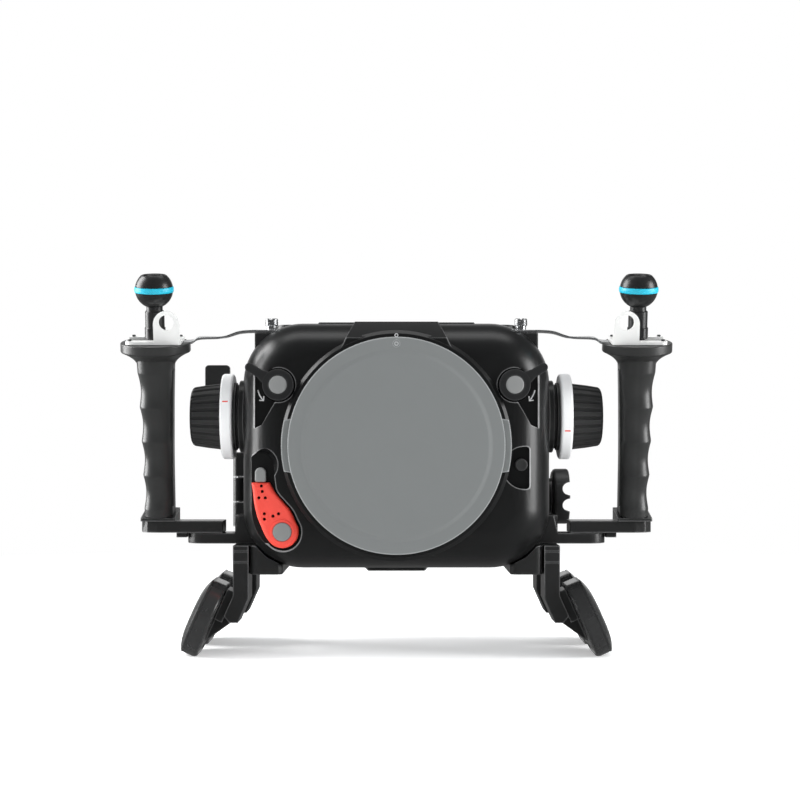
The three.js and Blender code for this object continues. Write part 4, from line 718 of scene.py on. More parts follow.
def top_deck():
    root, top = HALF_HEIGHT - DECK_SLOPE, HALF_HEIGHT + DECK_RISE
    wide = DECK_HALF + DECK_SLOPE
    return slab([(-wide, root), (wide, root), (DECK_HALF, top), (-DECK_HALF, top)], DECK_START, DECK_END)


def lock_cutters(side):
    hub = LOCK_HUB + 1
    floor = LOCK_FRONT + LOCK_THICKNESS + GAP
    slant = [(mix(LOCK_EDGE, LOCK_X, inward), mix(LOCK_FOOT, LOCK_Z, up)) for inward, up in LOCK_SLANT]
    outline = [(LOCK_EDGE, LOCK_FOOT), (LOCK_EDGE, LOCK_TOP), (LOCK_X, LOCK_Z + hub / 2),
               (LOCK_X - hub / 2, LOCK_Z - hub / 2), *slant]
    seat = rod(hub, LOCK_FRONT - REACH, floor, "y", ROUND)
    bore = rod(LOCK_STEM + GAP, LOCK_FRONT, floor + LOCK_STEM_LENGTH + GAP, "y")
    return [
        slab(flipped(outline, side), LOCK_FRONT - REACH, LOCK_FLOOR),
        shifted(seat, side * LOCK_X, 0, LOCK_Z),
        shifted(bore, side * LOCK_X, 0, LOCK_Z),
    ]


def record_outline(margin):
    left = -REC_TOP_SHIFT - REC_TOP_WIDTH / 2 - margin
    right = -REC_TOP_SHIFT + REC_TOP_WIDTH / 2 + margin
    lobe, top = REC_LOBE + margin, REC_TOP_RISE + margin
    outer = [(mix(left, -lobe, inward), REC_TOP_RISE * up) for inward, up in REC_OUTER]
    inner = [(mix(right, lobe, inward), REC_TOP_RISE * up) for inward, up in REC_INNER]
    ball = arc(0, 0, lobe, 225, 395, ROUND)
    left_edge = smooth([(left, top + 1), (left, top), *outer, ball[0], ball[2]])
    right_edge = smooth([ball[-3], ball[-1], *inner, (right, top), (right, top + 1)])
    return left_edge + ball[1:-1] + right_edge


def record_cutters():
    reach = HALF_WIDTH + REACH - REC_X
    opening = [(-reach, REC_ARCH_RISE), (-reach, -REC_LOBE * 0.55), (-REC_LOBE * 0.8, -REC_LOBE * 0.75),
               (0, 0), (-REC_TOP_SHIFT + REC_ARCH - REC_SLOPE, REC_ARCH_RISE)]
    front = LOCK_FRONT - REACH
    wide, narrow = REC_ARCH + 0.6, REC_ARCH - REC_SLOPE
    arch = turned([(0, front), (wide, front), (wide, REC_FRONT + 1), (narrow, REC_BACK - 1),
                   (narrow, REC_FLOOR), (0, REC_FLOOR)], "y", ROUND)
    tools = [
        slab(record_outline(REC_RIM), front, REC_FLOOR),
        slab(opening, front, REC_FLOOR),
        shifted(arch, -REC_TOP_SHIFT, 0, REC_ARCH_RISE),
        rod(REC_STEM + GAP, REC_FRONT, CAVITY_Y + REACH, "y"),
    ]
    return [shifted(tool, -REC_X, 0, -REC_Z) for tool in tools]


def lens_cutters():
    x, z = LENS_POCKET_REACH - LENS_POCKET_CORNER, LENS_POCKET - LENS_POCKET_CORNER
    outline = arc(0, 0, LENS_POCKET, 90, 270, ROUND)
    outline += arc(x, -z, LENS_POCKET_CORNER, 270, 360, SMALL_STEPS)
    outline += arc(x, z, LENS_POCKET_CORNER, 0, 90, SMALL_STEPS)
    pocket = slab(outline, LOCK_FRONT - REACH, LENS_POCKET_FLOOR)
    shifted(pocket, LENS_X + LENS_POCKET_SHIFT, 0, LENS_Z + LENS_POCKET_DROP)
    wall = rod(BOSS_RADIUS, LOCK_FRONT - 2 * REACH, LENS_POCKET_FLOOR + REACH, "y", FINE)
    bore = rod(LENS_STEM + GAP, FRONT_Y, CAVITY_Y + REACH, "y")
    return [carved(pocket, wall), shifted(bore, LENS_X, 0, LENS_Z)]


def shaft_bore(side, radius, y, z):
    bore = rod(radius + GAP, HALF_WIDTH - SIDE_WALL - REACH, HALF_WIDTH + REACH, "x")
    return shifted(mirrored(bore) if side < 0 else bore, 0, y, z)


def hinge_knuckle(part, direction):
    span = (HINGE_TOP - HINGE_FOOT) / KNUCKLES
    low = HINGE_FOOT + span * part + (GAP / 2 if part else 0)
    high = HINGE_FOOT + span * (part + 1) - (GAP / 2 if part < KNUCKLES - 1 else 0)
    root = HINGE_X - HALF_WIDTH + SIDE_WALL / 2
    near = GAP if direction > 0 else 0
    outline = [(0, -direction * near), (root, direction * near),
               (root, direction * HINGE_ARM), (0, direction * HINGE_KNUCKLE)]
    knuckle = fused(slab(outline, low, high, "z"), rod(HINGE_KNUCKLE, low, high, "z"))
    return shifted(knuckle, -HINGE_X, PARTING_Y, 0)


def hinge_bore():
    return shifted(rod(HINGE_PIN + GAP, HINGE_FOOT - REACH, HINGE_TOP + REACH, "z"), -HINGE_X, PARTING_Y, 0)


def post_seat(side):
    outline = rounded(POST_WIDTH / 2 + GAP, POST_DEPTH / 2 + GAP, POST_CORNER, SMALL_STEPS)
    seat = slab(outline, POST_TOP - POST_ROOT, HALF_HEIGHT + REACH, "z")
    floor = slab(cavity(SIDE_WALL - POST_WALL), 0, PARTING_Y)
    return carved(shifted(seat, side * POST_X, STAY_Y, 0), floor)


def plug_seats(side):
    low = PLUG_TOP - PLUG_EDGE - PLUG_ROOT
    head = rod(PLUG_RADIUS + GAP, PLUG_TOP - 2 * PLUG_EDGE - 2 * GAP, PLUG_TOP + REACH, "z", ROUND)
    root = rod(PLUG_ROOT_RADIUS + GAP, low - REACH, PLUG_TOP, "z", ROUND)
    return [shifted(tool, side * PLUG_X, PLUG_Y, 0) for tool in (head, root)]


def front_shell():
    latch_boss = rod(LATCH_BOSS, HALF_WIDTH - SIDE_WALL / 2, HALF_WIDTH + LATCH_BOSS_HEIGHT, "x", ROUND)
    paddle_boss = tube(PADDLE_BOSS, PADDLE_SHAFT + GAP, HALF_WIDTH - SIDE_WALL / 2,
                       PADDLE_INNER - GAP, "x", SMALL)
    blank = fused(
        loft([*pillow(PILLOW_DEPTH, PILLOW_INSET, FRONT_Y, 1), body_ring(0, PARTING_Y)]),
        port_boss(),
        port_facet(),
        top_deck(),
        hinge_knuckle(0, -1),
        hinge_knuckle(KNUCKLES - 1, -1),
        shifted(latch_boss, 0, LATCH_Y, LATCH_Z),
        shifted(mirrored(paddle_boss), 0, PADDLE_Y + PADDLE_THICKNESS, PADDLE_FOOT),
    )
    latch_bore = rod(LATCH_STEM + GAP, LATCH_NEAR - LATCH_STEM_LENGTH - GAP,
                     HALF_WIDTH + LATCH_BOSS_HEIGHT + REACH, "x")
    middle = SIDE_WALL / 2
    groove = carved(
        slab(cavity(middle - SEAL_WIDTH / 2 - GAP), PARTING_Y - SEAL_DEPTH - GAP, PARTING_Y + REACH),
        slab(cavity(middle + SEAL_WIDTH / 2 + GAP), PARTING_Y - REACH, PARTING_Y + 2 * REACH),
    )
    cutters = [
        slab(cavity(SIDE_WALL), CAVITY_Y, PARTING_Y + REACH),
        rod(MOUTH_RADIUS, -REACH, CAVITY_Y + REACH, "y", FINE),
        rod(RING_RADIUS + GAP, -REACH, RING_DEPTH + GAP, "y", FINE),
        *record_cutters(),
        *lens_cutters(),
        groove,
        hinge_bore(),
        shaft_bore(-1, PADDLE_SHAFT, PADDLE_Y + PADDLE_THICKNESS, PADDLE_FOOT),
        shifted(latch_bore, 0, LATCH_Y, LATCH_Z),
    ]
    for side in (-1, 1):
        cutters += [*lock_cutters(side), *plug_seats(side), post_seat(side)]
        cutters.append(shaft_bore(side, KNOB_SHAFT, KNOB_Y, KNOB_Z))
    return carved(blank, *cutters)


def rear_door():
    rings = pillow(DOOR_PILLOW, DOOR_PILLOW, DOOR_BACK, -1)[::-1]
    blank = fused(loft([body_ring(0, PARTING_Y + GAP), *rings]), hinge_knuckle(1, 1))
    inside = DOOR_BACK - DOOR_WALL
    half_width, half_height = WINDOW_HALF
    opening = rounded(half_width - WINDOW_LEDGE, half_height - WINDOW_LEDGE, WINDOW_CORNER, SMALL_STEPS)
    ledge = rounded(half_width + GAP, half_height + GAP, WINDOW_CORNER, SMALL_STEPS)
    ledge_y = DOOR_BACK - WINDOW_SINK - WINDOW_THICKNESS - GAP
    cutters = [
        slab(cavity(SIDE_WALL), PARTING_Y - REACH, inside),
        slab(moved(opening, WINDOW_X, 0), inside - REACH, DOOR_BACK + REACH),
        slab(moved(ledge, WINDOW_X, 0), ledge_y, DOOR_BACK + REACH),
        shifted(rod(DIAL_SHAFT + GAP, inside - REACH, DOOR_BACK + REACH, "y"), REAR_X, 0, DIAL_Z),
        hinge_bore(),
    ]
    for z in REAR_BUTTON_Z:
        cutters.append(shifted(rod(REAR_STEM + GAP, inside - REACH, DOOR_BACK + REACH, "y"), REAR_X, 0, z))
    return carved(blank, *cutters)


def rear_button(z):
    inside, top = DOOR_BACK - DOOR_WALL - REAR_RISE, DOOR_BACK + 2 * REAR_RISE
    shoulder = DOOR_BACK + REAR_RISE
    profile = [(0, inside), (REAR_STEM, inside), (REAR_STEM, shoulder), (REAR_BUTTON, shoulder),
               *[(r, y) for y, r in arc(top - REAR_EDGE, REAR_BUTTON - REAR_EDGE, REAR_EDGE, 90, 0, 5)],
               (REAR_DISH, top), (0, top - REAR_DISH_DEPTH)]
    return shifted(turned(profile, "y"), REAR_X, 0, z)


def rear_dial():
    low, high = DOOR_BACK + GAP, DOOR_BACK + GAP + DIAL_RISE
    levels = ((low, DIAL_RADIUS - 0.5, 0.3), (low + 0.6, DIAL_RADIUS, 0.8),
              (high - 0.8, DIAL_RADIUS, 0.8), (high, DIAL_RADIUS - 0.9, 0))
    rings = [[(x, y, z) for x, z in fluted(radius, depth, DIAL_NOTCHES)] for y, radius, depth in levels]
    shaft = rod(DIAL_SHAFT, DOOR_BACK - DOOR_WALL - DIAL_RISE, DOOR_BACK + 2 * GAP, "y")
    return shifted(fused(loft(rings), shaft), REAR_X, 0, DIAL_Z)


# Port and locks

def port_ring():
    ring = tube(RING_RADIUS, MOUTH_RADIUS, GAP, RING_DEPTH, "y", FINE)
    notches = []
    for third in range(3):
        notch = block((-RING_NOTCH / 2, -REACH, 0),
                      (RING_NOTCH / 2, RING_DEPTH / 2, MOUTH_RADIUS + RING_NOTCH_DEPTH))
        notches.append(spun(notch, third * math.radians(120), "y"))
    return carved(ring, *notches)


def cap_tab(side):
    inner, outer = CAP_RADIUS - CAP_EDGE, CAP_RADIUS + CAP_TAB_REACH
    wide, narrow = CAP_TAB_ANGLE, CAP_TAB_ANGLE - CAP_TAB_SLOPE
    outline = arc(0, 0, outer, -narrow, narrow, SMALL_STEPS) + arc(0, 0, inner, wide, -wide, SMALL_STEPS)
    return slab(flipped(outline, side), -GAP - CAP_TAB_THICKNESS, -GAP)


def port_cap():
    plug = MOUTH_RADIUS - GAP
    seal_y = CAP_PLUG_DEPTH / 2
    low, high = seal_y - CAP_SEAL_WIDTH / 2 - GAP, seal_y + CAP_SEAL_WIDTH / 2 + GAP
    groove = plug - CAP_SEAL_DEPTH - GAP
    inner, inside = plug - CAP_PLUG_WALL, -GAP - CAP_PLUG_WALL / 2
    face = CAP_FRONT - CAP_FACE_RISE
    step = [(CAP_FACE_RADIUS - 2 + 4 * t / 12, mix(face, CAP_FRONT, 0.5 - 0.5 * math.cos(math.pi * t / 12)))
            for t in range(13)]
    profile = [
        (0, face), *step, (CAP_RADIUS, CAP_FRONT), (CAP_RADIUS, -GAP),
        (plug, -GAP), (plug, low), (groove, low), (groove, high), (plug, high),
        (plug, CAP_PLUG_DEPTH), (inner, CAP_PLUG_DEPTH), (inner, inside), (0, inside),
    ]
    cap = fused(turned(profile, "y", FINE), cap_tab(-1), cap_tab(1))
    sunk = CAP_FRONT + CAP_MARK_DEPTH
    dot_ring = shifted(tube(CAP_MARK_OUTER, CAP_MARK_INNER, face - REACH, sunk, "y", SMALL), 0, 0, CAP_MARK_Z)
    dot = shifted(rod(CAP_MARK_DOT, face - REACH, sunk, "y", SMALL), 0, 0, CAP_MARK_Z)
    return carved(softened(cap, CAP_SOFT, 3), dot_ring, dot)


def lock_lever():
    half = LOCK_ARM_WIDTH / 2
    root = math.sqrt(LOCK_HUB ** 2 - half ** 2) - GAP
    tip = LOCK_ARM_REACH - half
    back = LOCK_FRONT + LOCK_THICKNESS
    low, high = LOCK_FRONT + GAP, LOCK_FRONT + GAP + LOCK_ARM_THICKNESS
    arm = [(0, -half), (root, -half), (tip, -half), *arc(tip, 0, half, -80, 80, 12), (root, half), (0, half)]
    fillet = [(0, -half - 3.2), (root + 1, -half - 1), (root + 4.5, -half),
              (root + 4.5, half), (root + 1, half + 1), (0, half + 3.2)]
    lever = fused(
        rod(LOCK_HUB, LOCK_FRONT, back, "y", ROUND),
        rod(LOCK_STEM, back - GAP, back + LOCK_STEM_LENGTH, "y"),
        spun(slab(arm, low, high), -math.radians(LOCK_ARM_ANGLE), "y"),
        spun(slab(fillet, low, high), -math.radians(LOCK_ARM_ANGLE), "y"),
    )
    seat = rod(LOCK_DISC + GAP, LOCK_FRONT - REACH, LOCK_FRONT + 2, "y", ROUND)
    return shifted(softened(carved(lever, seat), 0.5), LOCK_X, 0, LOCK_Z)


def disc(radius, front, back):
    """A thin round plate with a softly domed face."""
    profile = [(0, front), *rim(radius, front, DISC_RIM), (radius, back), (0, back)]
    return turned(profile, "y", ROUND)


def record_lever():
    steps = [(0, REC_BACK), *((inset, REC_FRONT + rise) for inset, rise in REC_EDGE)]
    plate = loft([[(x, y, z) for x, z in record_outline(-inset)] for inset, y in steps])
    low = REC_FRONT - REC_COLLAR_RISE
    profile = [(0, low), *rim(REC_COLLAR, low, REC_COLLAR_RIM), (REC_COLLAR, REC_BACK - 1), (0, REC_BACK - 1)]
    collar = turned(profile, "y", ROUND)
    stem = rod(REC_STEM, REC_BACK - GAP, CAVITY_Y + REACH, "y")
    cutters = [rod(REC_DISC + GAP, low - REACH, low + REC_SEAT, "y", ROUND)]
    for x, z in REC_PITS:
        cutters.append(shifted(rod(REC_PIT, REC_FRONT - 1, REC_BACK + 1, "y", TINY), x, 0, z))
    return shifted(carved(fused(plate, collar, stem), *cutters), -REC_X, 0, -REC_Z)


def record_tip():
    half = REC_TIP_WIDTH / 2
    low, shoulder = REC_TOP_RISE + GAP, REC_TOP_RISE + REC_TIP_RISE - half
    outline = [(-half, low), (half, low), *arc(0, shoulder, half, 0, 180, 16)]
    front = REC_FRONT + (REC_THICKNESS - REC_TIP_THICKNESS) / 2
    tip = softened(slab(outline, front, front + REC_TIP_THICKNESS), 1.2, 4)
    return shifted(tip, -REC_X - REC_TOP_SHIFT, 0, -REC_Z)


def lens_button():
    back = LENS_POCKET_FLOOR - LENS_HEIGHT / 2
    front = back - LENS_HEIGHT
    profile = [(0, front + LENS_DISH), *rim(LENS_RADIUS, front, LENS_RIM),
               *arc(LENS_RADIUS - LENS_EDGE, front + LENS_EDGE, LENS_EDGE, -90, 0, 4),
               (LENS_RADIUS, back), (LENS_STEM, back),
               (LENS_STEM, CAVITY_Y + REACH), (0, CAVITY_Y + REACH)]
    return shifted(turned(profile, "y", ROUND), LENS_X, 0, LENS_Z)


# Marks

def stroke(points, width):
    """A painted line of even width through points."""
    left, right = [], []
    for before, here, after in zip([points[0], *points], points, [*points[1:], points[-1]]):
        along = Vector((after[0] - before[0], after[1] - before[1])).normalized() * width / 2
        left.append((here[0] - along.y, here[1] + along.x))
        right.append((here[0] + along.y, here[1] - along.x))
    return left + right[::-1]


def turn_arrow():
    """The bent arrow that shows which way a port lock turns."""
    mark = bpy.context.scene.housing_sizes.mark / MM
    line = arc(LOCK_X, LOCK_Z, ARROW_RADIUS, ARROW_FROM, ARROW_TO, 10)
    tip = line[-1]
    head = [(tip[0] - 0.2, tip[1] + 3.0), tip, (tip[0] + 2.8, tip[1] + 0.3)]
    front = LOCK_FLOOR - mark
    return fused(*(slab(stroke(points, ARROW_WIDTH), front, LOCK_FLOOR) for points in (line, head)))


def index_ring():
    """The small ring on the port boss that shows where the port goes on."""
    mark = bpy.context.scene.housing_sizes.mark / MM
    return shifted(tube(INDEX_OUTER, INDEX_INNER, -mark, 0, "y", SMALL), 0, 0, INDEX_Z)


# Side controls

def fluted(radius, depth, flutes, sides_per_flute=8):
    """A circle with round flutes cut into it."""
    points = []
    total = flutes * sides_per_flute
    for i in range(total):
        phase = (i % sides_per_flute) / sides_per_flute
        dip = max(0.0, math.sin(phase * 2 * math.pi)) ** 0.6
        r = radius - depth * dip
        angle = i / total * 2 * math.pi
        points.append((r * math.cos(angle), r * math.sin(angle)))
    return points


def knob_grip():
    core = rod(KNOB_GRIP, BASE_OUTER + GAP, RING_FAR, "x", FINE)
    rings = []
    for share, rise, depth in KNOB_STEPS:
        x = mix(RING_FAR - GAP, KNOB_END, share)
        radius = mix(KNOB_GRIP - 0.3, KNOB_TIP, min(1.0, share * 1.1)) + rise
        rings.append([(x, y, z) for y, z in fluted(radius, depth, KNOB_RIBS)])
    ribs = loft(rings)
    inside = HALF_WIDTH - KNOB_SHAFT_INSIDE - KNOB_GEAR_WIDTH
    shaft = rod(KNOB_SHAFT, inside, BASE_OUTER + 2 * GAP, "x")
    wheel = slab(fluted(KNOB_GEAR, KNOB_TOOTH, KNOB_TEETH, 4), inside, inside + KNOB_GEAR_WIDTH, "x")
    return shifted(fused(core, ribs, shaft, wheel), 0, KNOB_Y, KNOB_Z)


def knob_ring():
    inner = KNOB_GRIP + GAP
    profile = [(inner, RING_NEAR)]
    profile += [(y, x) for x, y in arc(RING_NEAR + RING_EDGE, RING_OUTER - RING_EDGE, RING_EDGE, 180, 90, 6)]
    profile += [(y, x) for x, y in arc(RING_FAR - RING_EDGE, RING_OUTER - RING_EDGE, RING_EDGE, 90, 0, 6)]
    profile += [(inner, RING_FAR), (inner, RING_NEAR)]
    return shifted(turned(profile, "x", FINE), 0, KNOB_Y, KNOB_Z)


def knob_base():
    hole = KNOB_SHAFT + GAP
    near, far = HALF_WIDTH + GAP, BASE_OUTER
    outside = rim(KNOB_BASE, far, KNOB_BASE_RIM)
    profile = [(hole, near), (KNOB_BASE, near), *outside, (hole, far), (hole, near)]
    return shifted(turned(profile, "x", FINE), 0, KNOB_Y, KNOB_Z)


def thumb_paddle():
    half = (PADDLE_OUTER - PADDLE_INNER) / 2
    high = (PADDLE_TOP - PADDLE_FOOT) / 2
    plate = slab(rounded(half, high, 2.6, SMALL_STEPS), PADDLE_Y, PADDLE_Y + PADDLE_THICKNESS)
    shifted(plate, (PADDLE_OUTER + PADDLE_INNER) / 2, 0, (PADDLE_TOP + PADDLE_FOOT) / 2)
    pivot = PADDLE_Y + PADDLE_THICKNESS
    hub = shifted(rod(PADDLE_BOSS, PADDLE_INNER, PADDLE_OUTER, "x", ROUND), 0, pivot, PADDLE_FOOT)
    shaft = rod(PADDLE_SHAFT, HALF_WIDTH - SIDE_WALL - REACH, PADDLE_INNER + GAP, "x")
    shifted(shaft, 0, pivot, PADDLE_FOOT)
    return mirrored(softened(fused(plate, hub, shaft), 0.7, 3))


def latch_knob():
    inner, outer = LATCH_NEAR, LATCH_NEAR + LATCH_THICKNESS
    profile = [(0, inner), *rim(LATCH_RADIUS, inner, LATCH_INNER_RIM),
               *rim(LATCH_RADIUS, outer, LATCH_OUTER_RIM), (0, outer)]
    wells = []
    for side in (-1, 1):
        half, deep = LATCH_WELL, LATCH_WELL_DEPTH
        mid = LATCH_FIN / 2 + half
        outline = [(side * (mid + u * half), outer + v * deep) for u, v in arc(0, 0, 1, 180, 360, 20)]
        outline += [(side * (mid + half), outer + REACH), (side * (mid - half), outer + REACH)]
        wells.append(slab([(x, z) for z, x in outline], -LATCH_RADIUS - REACH, LATCH_RADIUS + REACH))
    stem = rod(LATCH_STEM, inner - LATCH_STEM_LENGTH, inner + GAP, "x")
    knob = carved(fused(turned(profile, "x", FINE), stem), *wells)
    return shifted(softened(knob, 0.4), 0, LATCH_Y, LATCH_Z)


# Top fittings

def bulkhead_plug():
    seat = PLUG_TOP - 2 * PLUG_EDGE - GAP
    low = seat - PLUG_ROOT + PLUG_EDGE + GAP
    profile = [(0, low), (PLUG_ROOT_RADIUS, low), (PLUG_ROOT_RADIUS, seat), (PLUG_RADIUS, seat),
               *rim(PLUG_RADIUS, PLUG_TOP, PLUG_RIM), (0, PLUG_TOP - PLUG_DISH)]
    slot = block((-5, -0.8, PLUG_TOP - 1.6), (5, 0.8, PLUG_TOP + 1))
    return shifted(carved(turned(profile, "z"), slot), PLUG_X, PLUG_Y, 0)


def stay_post():
    outline = rounded(POST_WIDTH / 2, POST_DEPTH / 2, POST_CORNER, SMALL_STEPS)
    post = softened(slab(outline, POST_TOP - POST_ROOT, POST_TOP, "z"), 0.5)
    bore = rod(THUMB_NECK + GAP, POST_TOP - THUMB_STUD - GAP, POST_TOP + REACH, "z")
    floor = slab(cavity(SIDE_WALL - POST_WALL - GAP), 0, PARTING_Y)
    return carved(shifted(carved(post, bore), POST_X, STAY_Y, 0), floor)


STAY_TONGUE = STAY_Y - HANDLE_Y + GRIP_TOP * math.sin(HANDLE_TILT)


def stay():
    """A bent strip from the top of the grip to the post."""
    level = GRIP_TOP - GAP - STAY_THICKNESS / 2
    outer_z = (ARM_TOP + level * math.cos(HANDLE_TILT)
               + STAY_TONGUE / math.cos(HANDLE_TILT) * math.sin(HANDLE_TILT))
    inner_z = POST_TOP + GAP + STAY_THICKNESS / 2
    dip = inner_z + STAY_DIP
    edge = HANDLE_X - FLANGE_RADIUS
    side = POST_X + POST_WIDTH / 2
    bends = [mix(edge, side, share) for share in STAY_BENDS]
    places = [(HANDLE_X - SLOT_INNER - GAP, outer_z, 1.0), (edge - GAP, outer_z, 1.0), (bends[0], dip, 0.7),
              (bends[1], dip, 0.3), (bends[2], inner_z, 0.0), (POST_X - POST_WIDTH / 2, inner_z, 0.0)]
    path = [places[0]]
    for before, here, after in zip(places, places[1:], places[2:]):
        start = [mix(h, b, STAY_BEND) for h, b in zip(here, before)]
        end = [mix(h, a, STAY_BEND) for h, a in zip(here, after)]
        for step in range(7):
            share = step / 6
            path.append([mix(mix(s, h, share), mix(h, e, share), share) for s, h, e in zip(start, here, end)])
    path.append(places[-1])
    rings = []
    half, thick = STAY_WIDTH / 2, STAY_THICKNESS / 2
    for x, z, share in path:
        cos, sin = math.cos(HANDLE_TILT * share), math.sin(HANDLE_TILT * share)
        rings.append([(x, STAY_Y + u * cos - v * sin, z + u * sin + v * cos)
                      for u, v in rounded(half, thick, thick * 0.7, 3)])
    bore = shifted(rod(THUMB_NECK + GAP, POST_TOP - REACH, POST_TOP + REACH, "z"), POST_X, STAY_Y, 0)
    return carved(loft(rings), bore)


def thumb_screw():
    seat = POST_TOP + 2 * GAP + STAY_THICKNESS
    neck = seat + THUMB_NECK_HEIGHT
    head = neck + THUMB_HEIGHT
    low = POST_TOP - THUMB_STUD
    body = turned([(0, low), (THUMB_NECK, low), (THUMB_NECK, seat), (THUMB_COLLAR, seat),
                   (THUMB_COLLAR, neck + GAP), (0, neck + GAP)], "z")
    narrow = THUMB_HEAD - THUMB_EDGE
    levels = ((neck, narrow, 0), (neck + THUMB_EDGE, THUMB_HEAD, THUMB_KNURL),
              (head - THUMB_EDGE, THUMB_HEAD, THUMB_KNURL), (head, narrow, 0))
    rings = [[(x, y, z) for x, y in fluted(radius, depth, 30, 4)] for z, radius, depth in levels]
    slot = block((-0.5, -6, head - 0.9), (0.5, 6, head + 1))
    return shifted(fused(body, carved(loft(rings), slot)), POST_X, STAY_Y, 0)


# Handles

def finger_dip(share):
    """How deep the scoops for the fingers are at a share of the grip's length."""
    if not FINGER_FROM < share < FINGER_TO:
        return 0.0
    wave = 0.5 + 0.5 * math.cos(2 * math.pi * (share - FINGER_FIRST) / FINGER_PITCH)
    return FINGER_DEPTH * wave ** 0.55


def grip_ring(share, points=96):
    """One section of the grip: an oval with a scoop for a finger towards the front."""
    width = mix(GRIP_FOOT, GRIP_HEAD, share ** 2)
    dip = finger_dip(share)
    outline = rounded(width / 2, GRIP_DEPTH / 2, width / 2 * 0.92, points // 4 - 1)
    ring = []
    for x, y in outline:
        along = math.hypot(x / width, y / GRIP_DEPTH)
        facing = (FINGER_AIM[0] * x / width + FINGER_AIM[1] * y / GRIP_DEPTH) / along
        inward = dip * max(0.0, facing) ** 1.6 / math.hypot(x, y)
        ring.append((x * (1 - inward), y * (1 - inward), GRIP_START + GRIP_LENGTH * share))
    return ring


def grip_spine():
    """The raised seam strip down the inner side of the grip."""
    rings = []
    for step in range(25):
        share = mix(0.06, 0.93, step / 24)
        x = -mix(GRIP_FOOT, GRIP_HEAD, share ** 2) / 2
        z = GRIP_START + GRIP_LENGTH * share
        rings.append([(x + u, SPINE_Y + v, z) for u, v in rounded(0.55, SPINE_HALF, 0.5, 4)])
    return loft(rings)


def grip():
    body = loft([grip_ring(i / 120) for i in range(121)])
    foot = GRIP_START + GRIP_LENGTH - NECK_FILLET
    cone = GRIP_START + GRIP_LENGTH + FLANGE_CONE
    neck = GRIP_HEAD / 2 - NECK_INSET
    profile = [(0, foot), (neck, foot)]
    for step in range(1, 13):
        share = step / 12
        profile.append((mix(neck, FLANGE_RADIUS - 0.6, share ** NECK_CURVE), mix(foot, cone, share)))
    profile += [(y, x) for x, y in arc(cone + 1, FLANGE_RADIUS - 1, 1, 180, 90, 5)]
    profile += [(y, x) for x, y in arc(GRIP_TOP - 0.8, FLANGE_RADIUS - 0.8, 0.8, 90, 0, 5)]
    profile.append((0, GRIP_TOP))
    reach = FLANGE_RADIUS + REACH - SLOT_INNER
    tongue = STAY_TONGUE / math.cos(HANDLE_TILT)
    pocket = block((-SLOT_INNER - reach, tongue - STAY_WIDTH / 2 - GAP, GRIP_TOP - SLOT_DEPTH),
                   (-SLOT_INNER, tongue + STAY_WIDTH / 2 + GAP, GRIP_TOP + REACH))
    bore = rod(BALL_STUD + GAP, GRIP_TOP - BALL_STUD_LENGTH - GAP, GRIP_TOP + REACH, "z")
    return carved(fused(body, turned(profile, "z", FINE)), pocket, bore)


def top_plate():
    sheet = slab(rounded(PLATE_HALF, PLATE_HALF_DEPTH, PLATE_CORNER, SMALL_STEPS), PLATE_FOOT, PLATE_TOP, "z")
    outline = rounded(PLATE_HALF, SLOT_WIDTH / 2, SLOT_WIDTH / 2 - GAP, SMALL_STEPS * 2)
    slot = slab(moved(outline, PLATE_HALF - SLOT_INNER, 0), PLATE_FOOT - REACH, PLATE_TOP + REACH, "z")
    ear_top = PLATE_TOP + EAR_HEIGHT
    ear = [(-EAR_SHIFT - EAR_HALF, PLATE_FOOT), (-EAR_SHIFT + EAR_HALF, PLATE_FOOT),
           *arc(-EAR_SHIFT, ear_top - EAR_HALF, EAR_HALF, 0, 180, 32)]
    front = -PLATE_HALF_DEPTH
    hole = rod(EAR_HOLE, front - REACH, front + REACH, "y", ROUND)
    shifted(hole, -EAR_SHIFT, 0, PLATE_TOP + EAR_HOLE_RISE)
    flag = carved(slab(ear, front, front + PLATE_THICKNESS), hole)
    return softened(fused(carved(sheet, slot), flag), 0.35)


def ball_mount():
    foot = PLATE_TOP + GAP
    half = BALL_RING_WIDTH / 2 + GAP
    groove = BALL_RADIUS - BALL_RING_DEPTH - GAP
    neck = math.degrees(math.acos(BALL_NECK / BALL_RADIUS))
    flat = math.degrees(math.asin(BALL_FLAT / BALL_RADIUS))
    edge = math.degrees(math.asin(half / BALL_RADIUS))
    top = BALL_CENTRE + BALL_FLAT
    shank = foot + BALL_FOOT_LENGTH
    profile = [
        (0, GRIP_TOP - BALL_STUD_LENGTH), (BALL_STUD, GRIP_TOP - BALL_STUD_LENGTH), (BALL_STUD, foot),
        (BALL_FOOT - BALL_SOFT, foot), (BALL_FOOT, foot + BALL_SOFT),
        (BALL_FOOT, shank - BALL_SOFT), (BALL_FOOT - BALL_SOFT, shank),
        (BALL_COLLAR, shank), (BALL_COLLAR, shank + BALL_COLLAR_LENGTH - BALL_COLLAR_SOFT),
        (BALL_COLLAR - BALL_COLLAR_SOFT, shank + BALL_COLLAR_LENGTH),
        (BALL_NECK, shank + BALL_COLLAR_LENGTH), *arc(0, BALL_CENTRE, BALL_RADIUS, -neck, -edge, 14),
        (groove, BALL_CENTRE - half), (groove, BALL_CENTRE + half),
        *arc(0, BALL_CENTRE, BALL_RADIUS, edge, flat - 2, 14),
        (BALL_DISH + 0.5, top), (BALL_DISH, top - 0.1),
        (BALL_DISH - BALL_DISH_DEPTH, top - BALL_DISH_DEPTH), (0, top - BALL_DISH_DEPTH),
    ]
    mount = turned(profile, "z", FINE)
    flats = []
    for side in (-1, 1):
        near = BALL_FOOT - BALL_KEY
        inner, outer = sorted((side * near, side * 10))
        flats.append(block((-10, inner, foot + 1.2), (10, outer, shank + REACH)))
    return carved(mount, *flats)


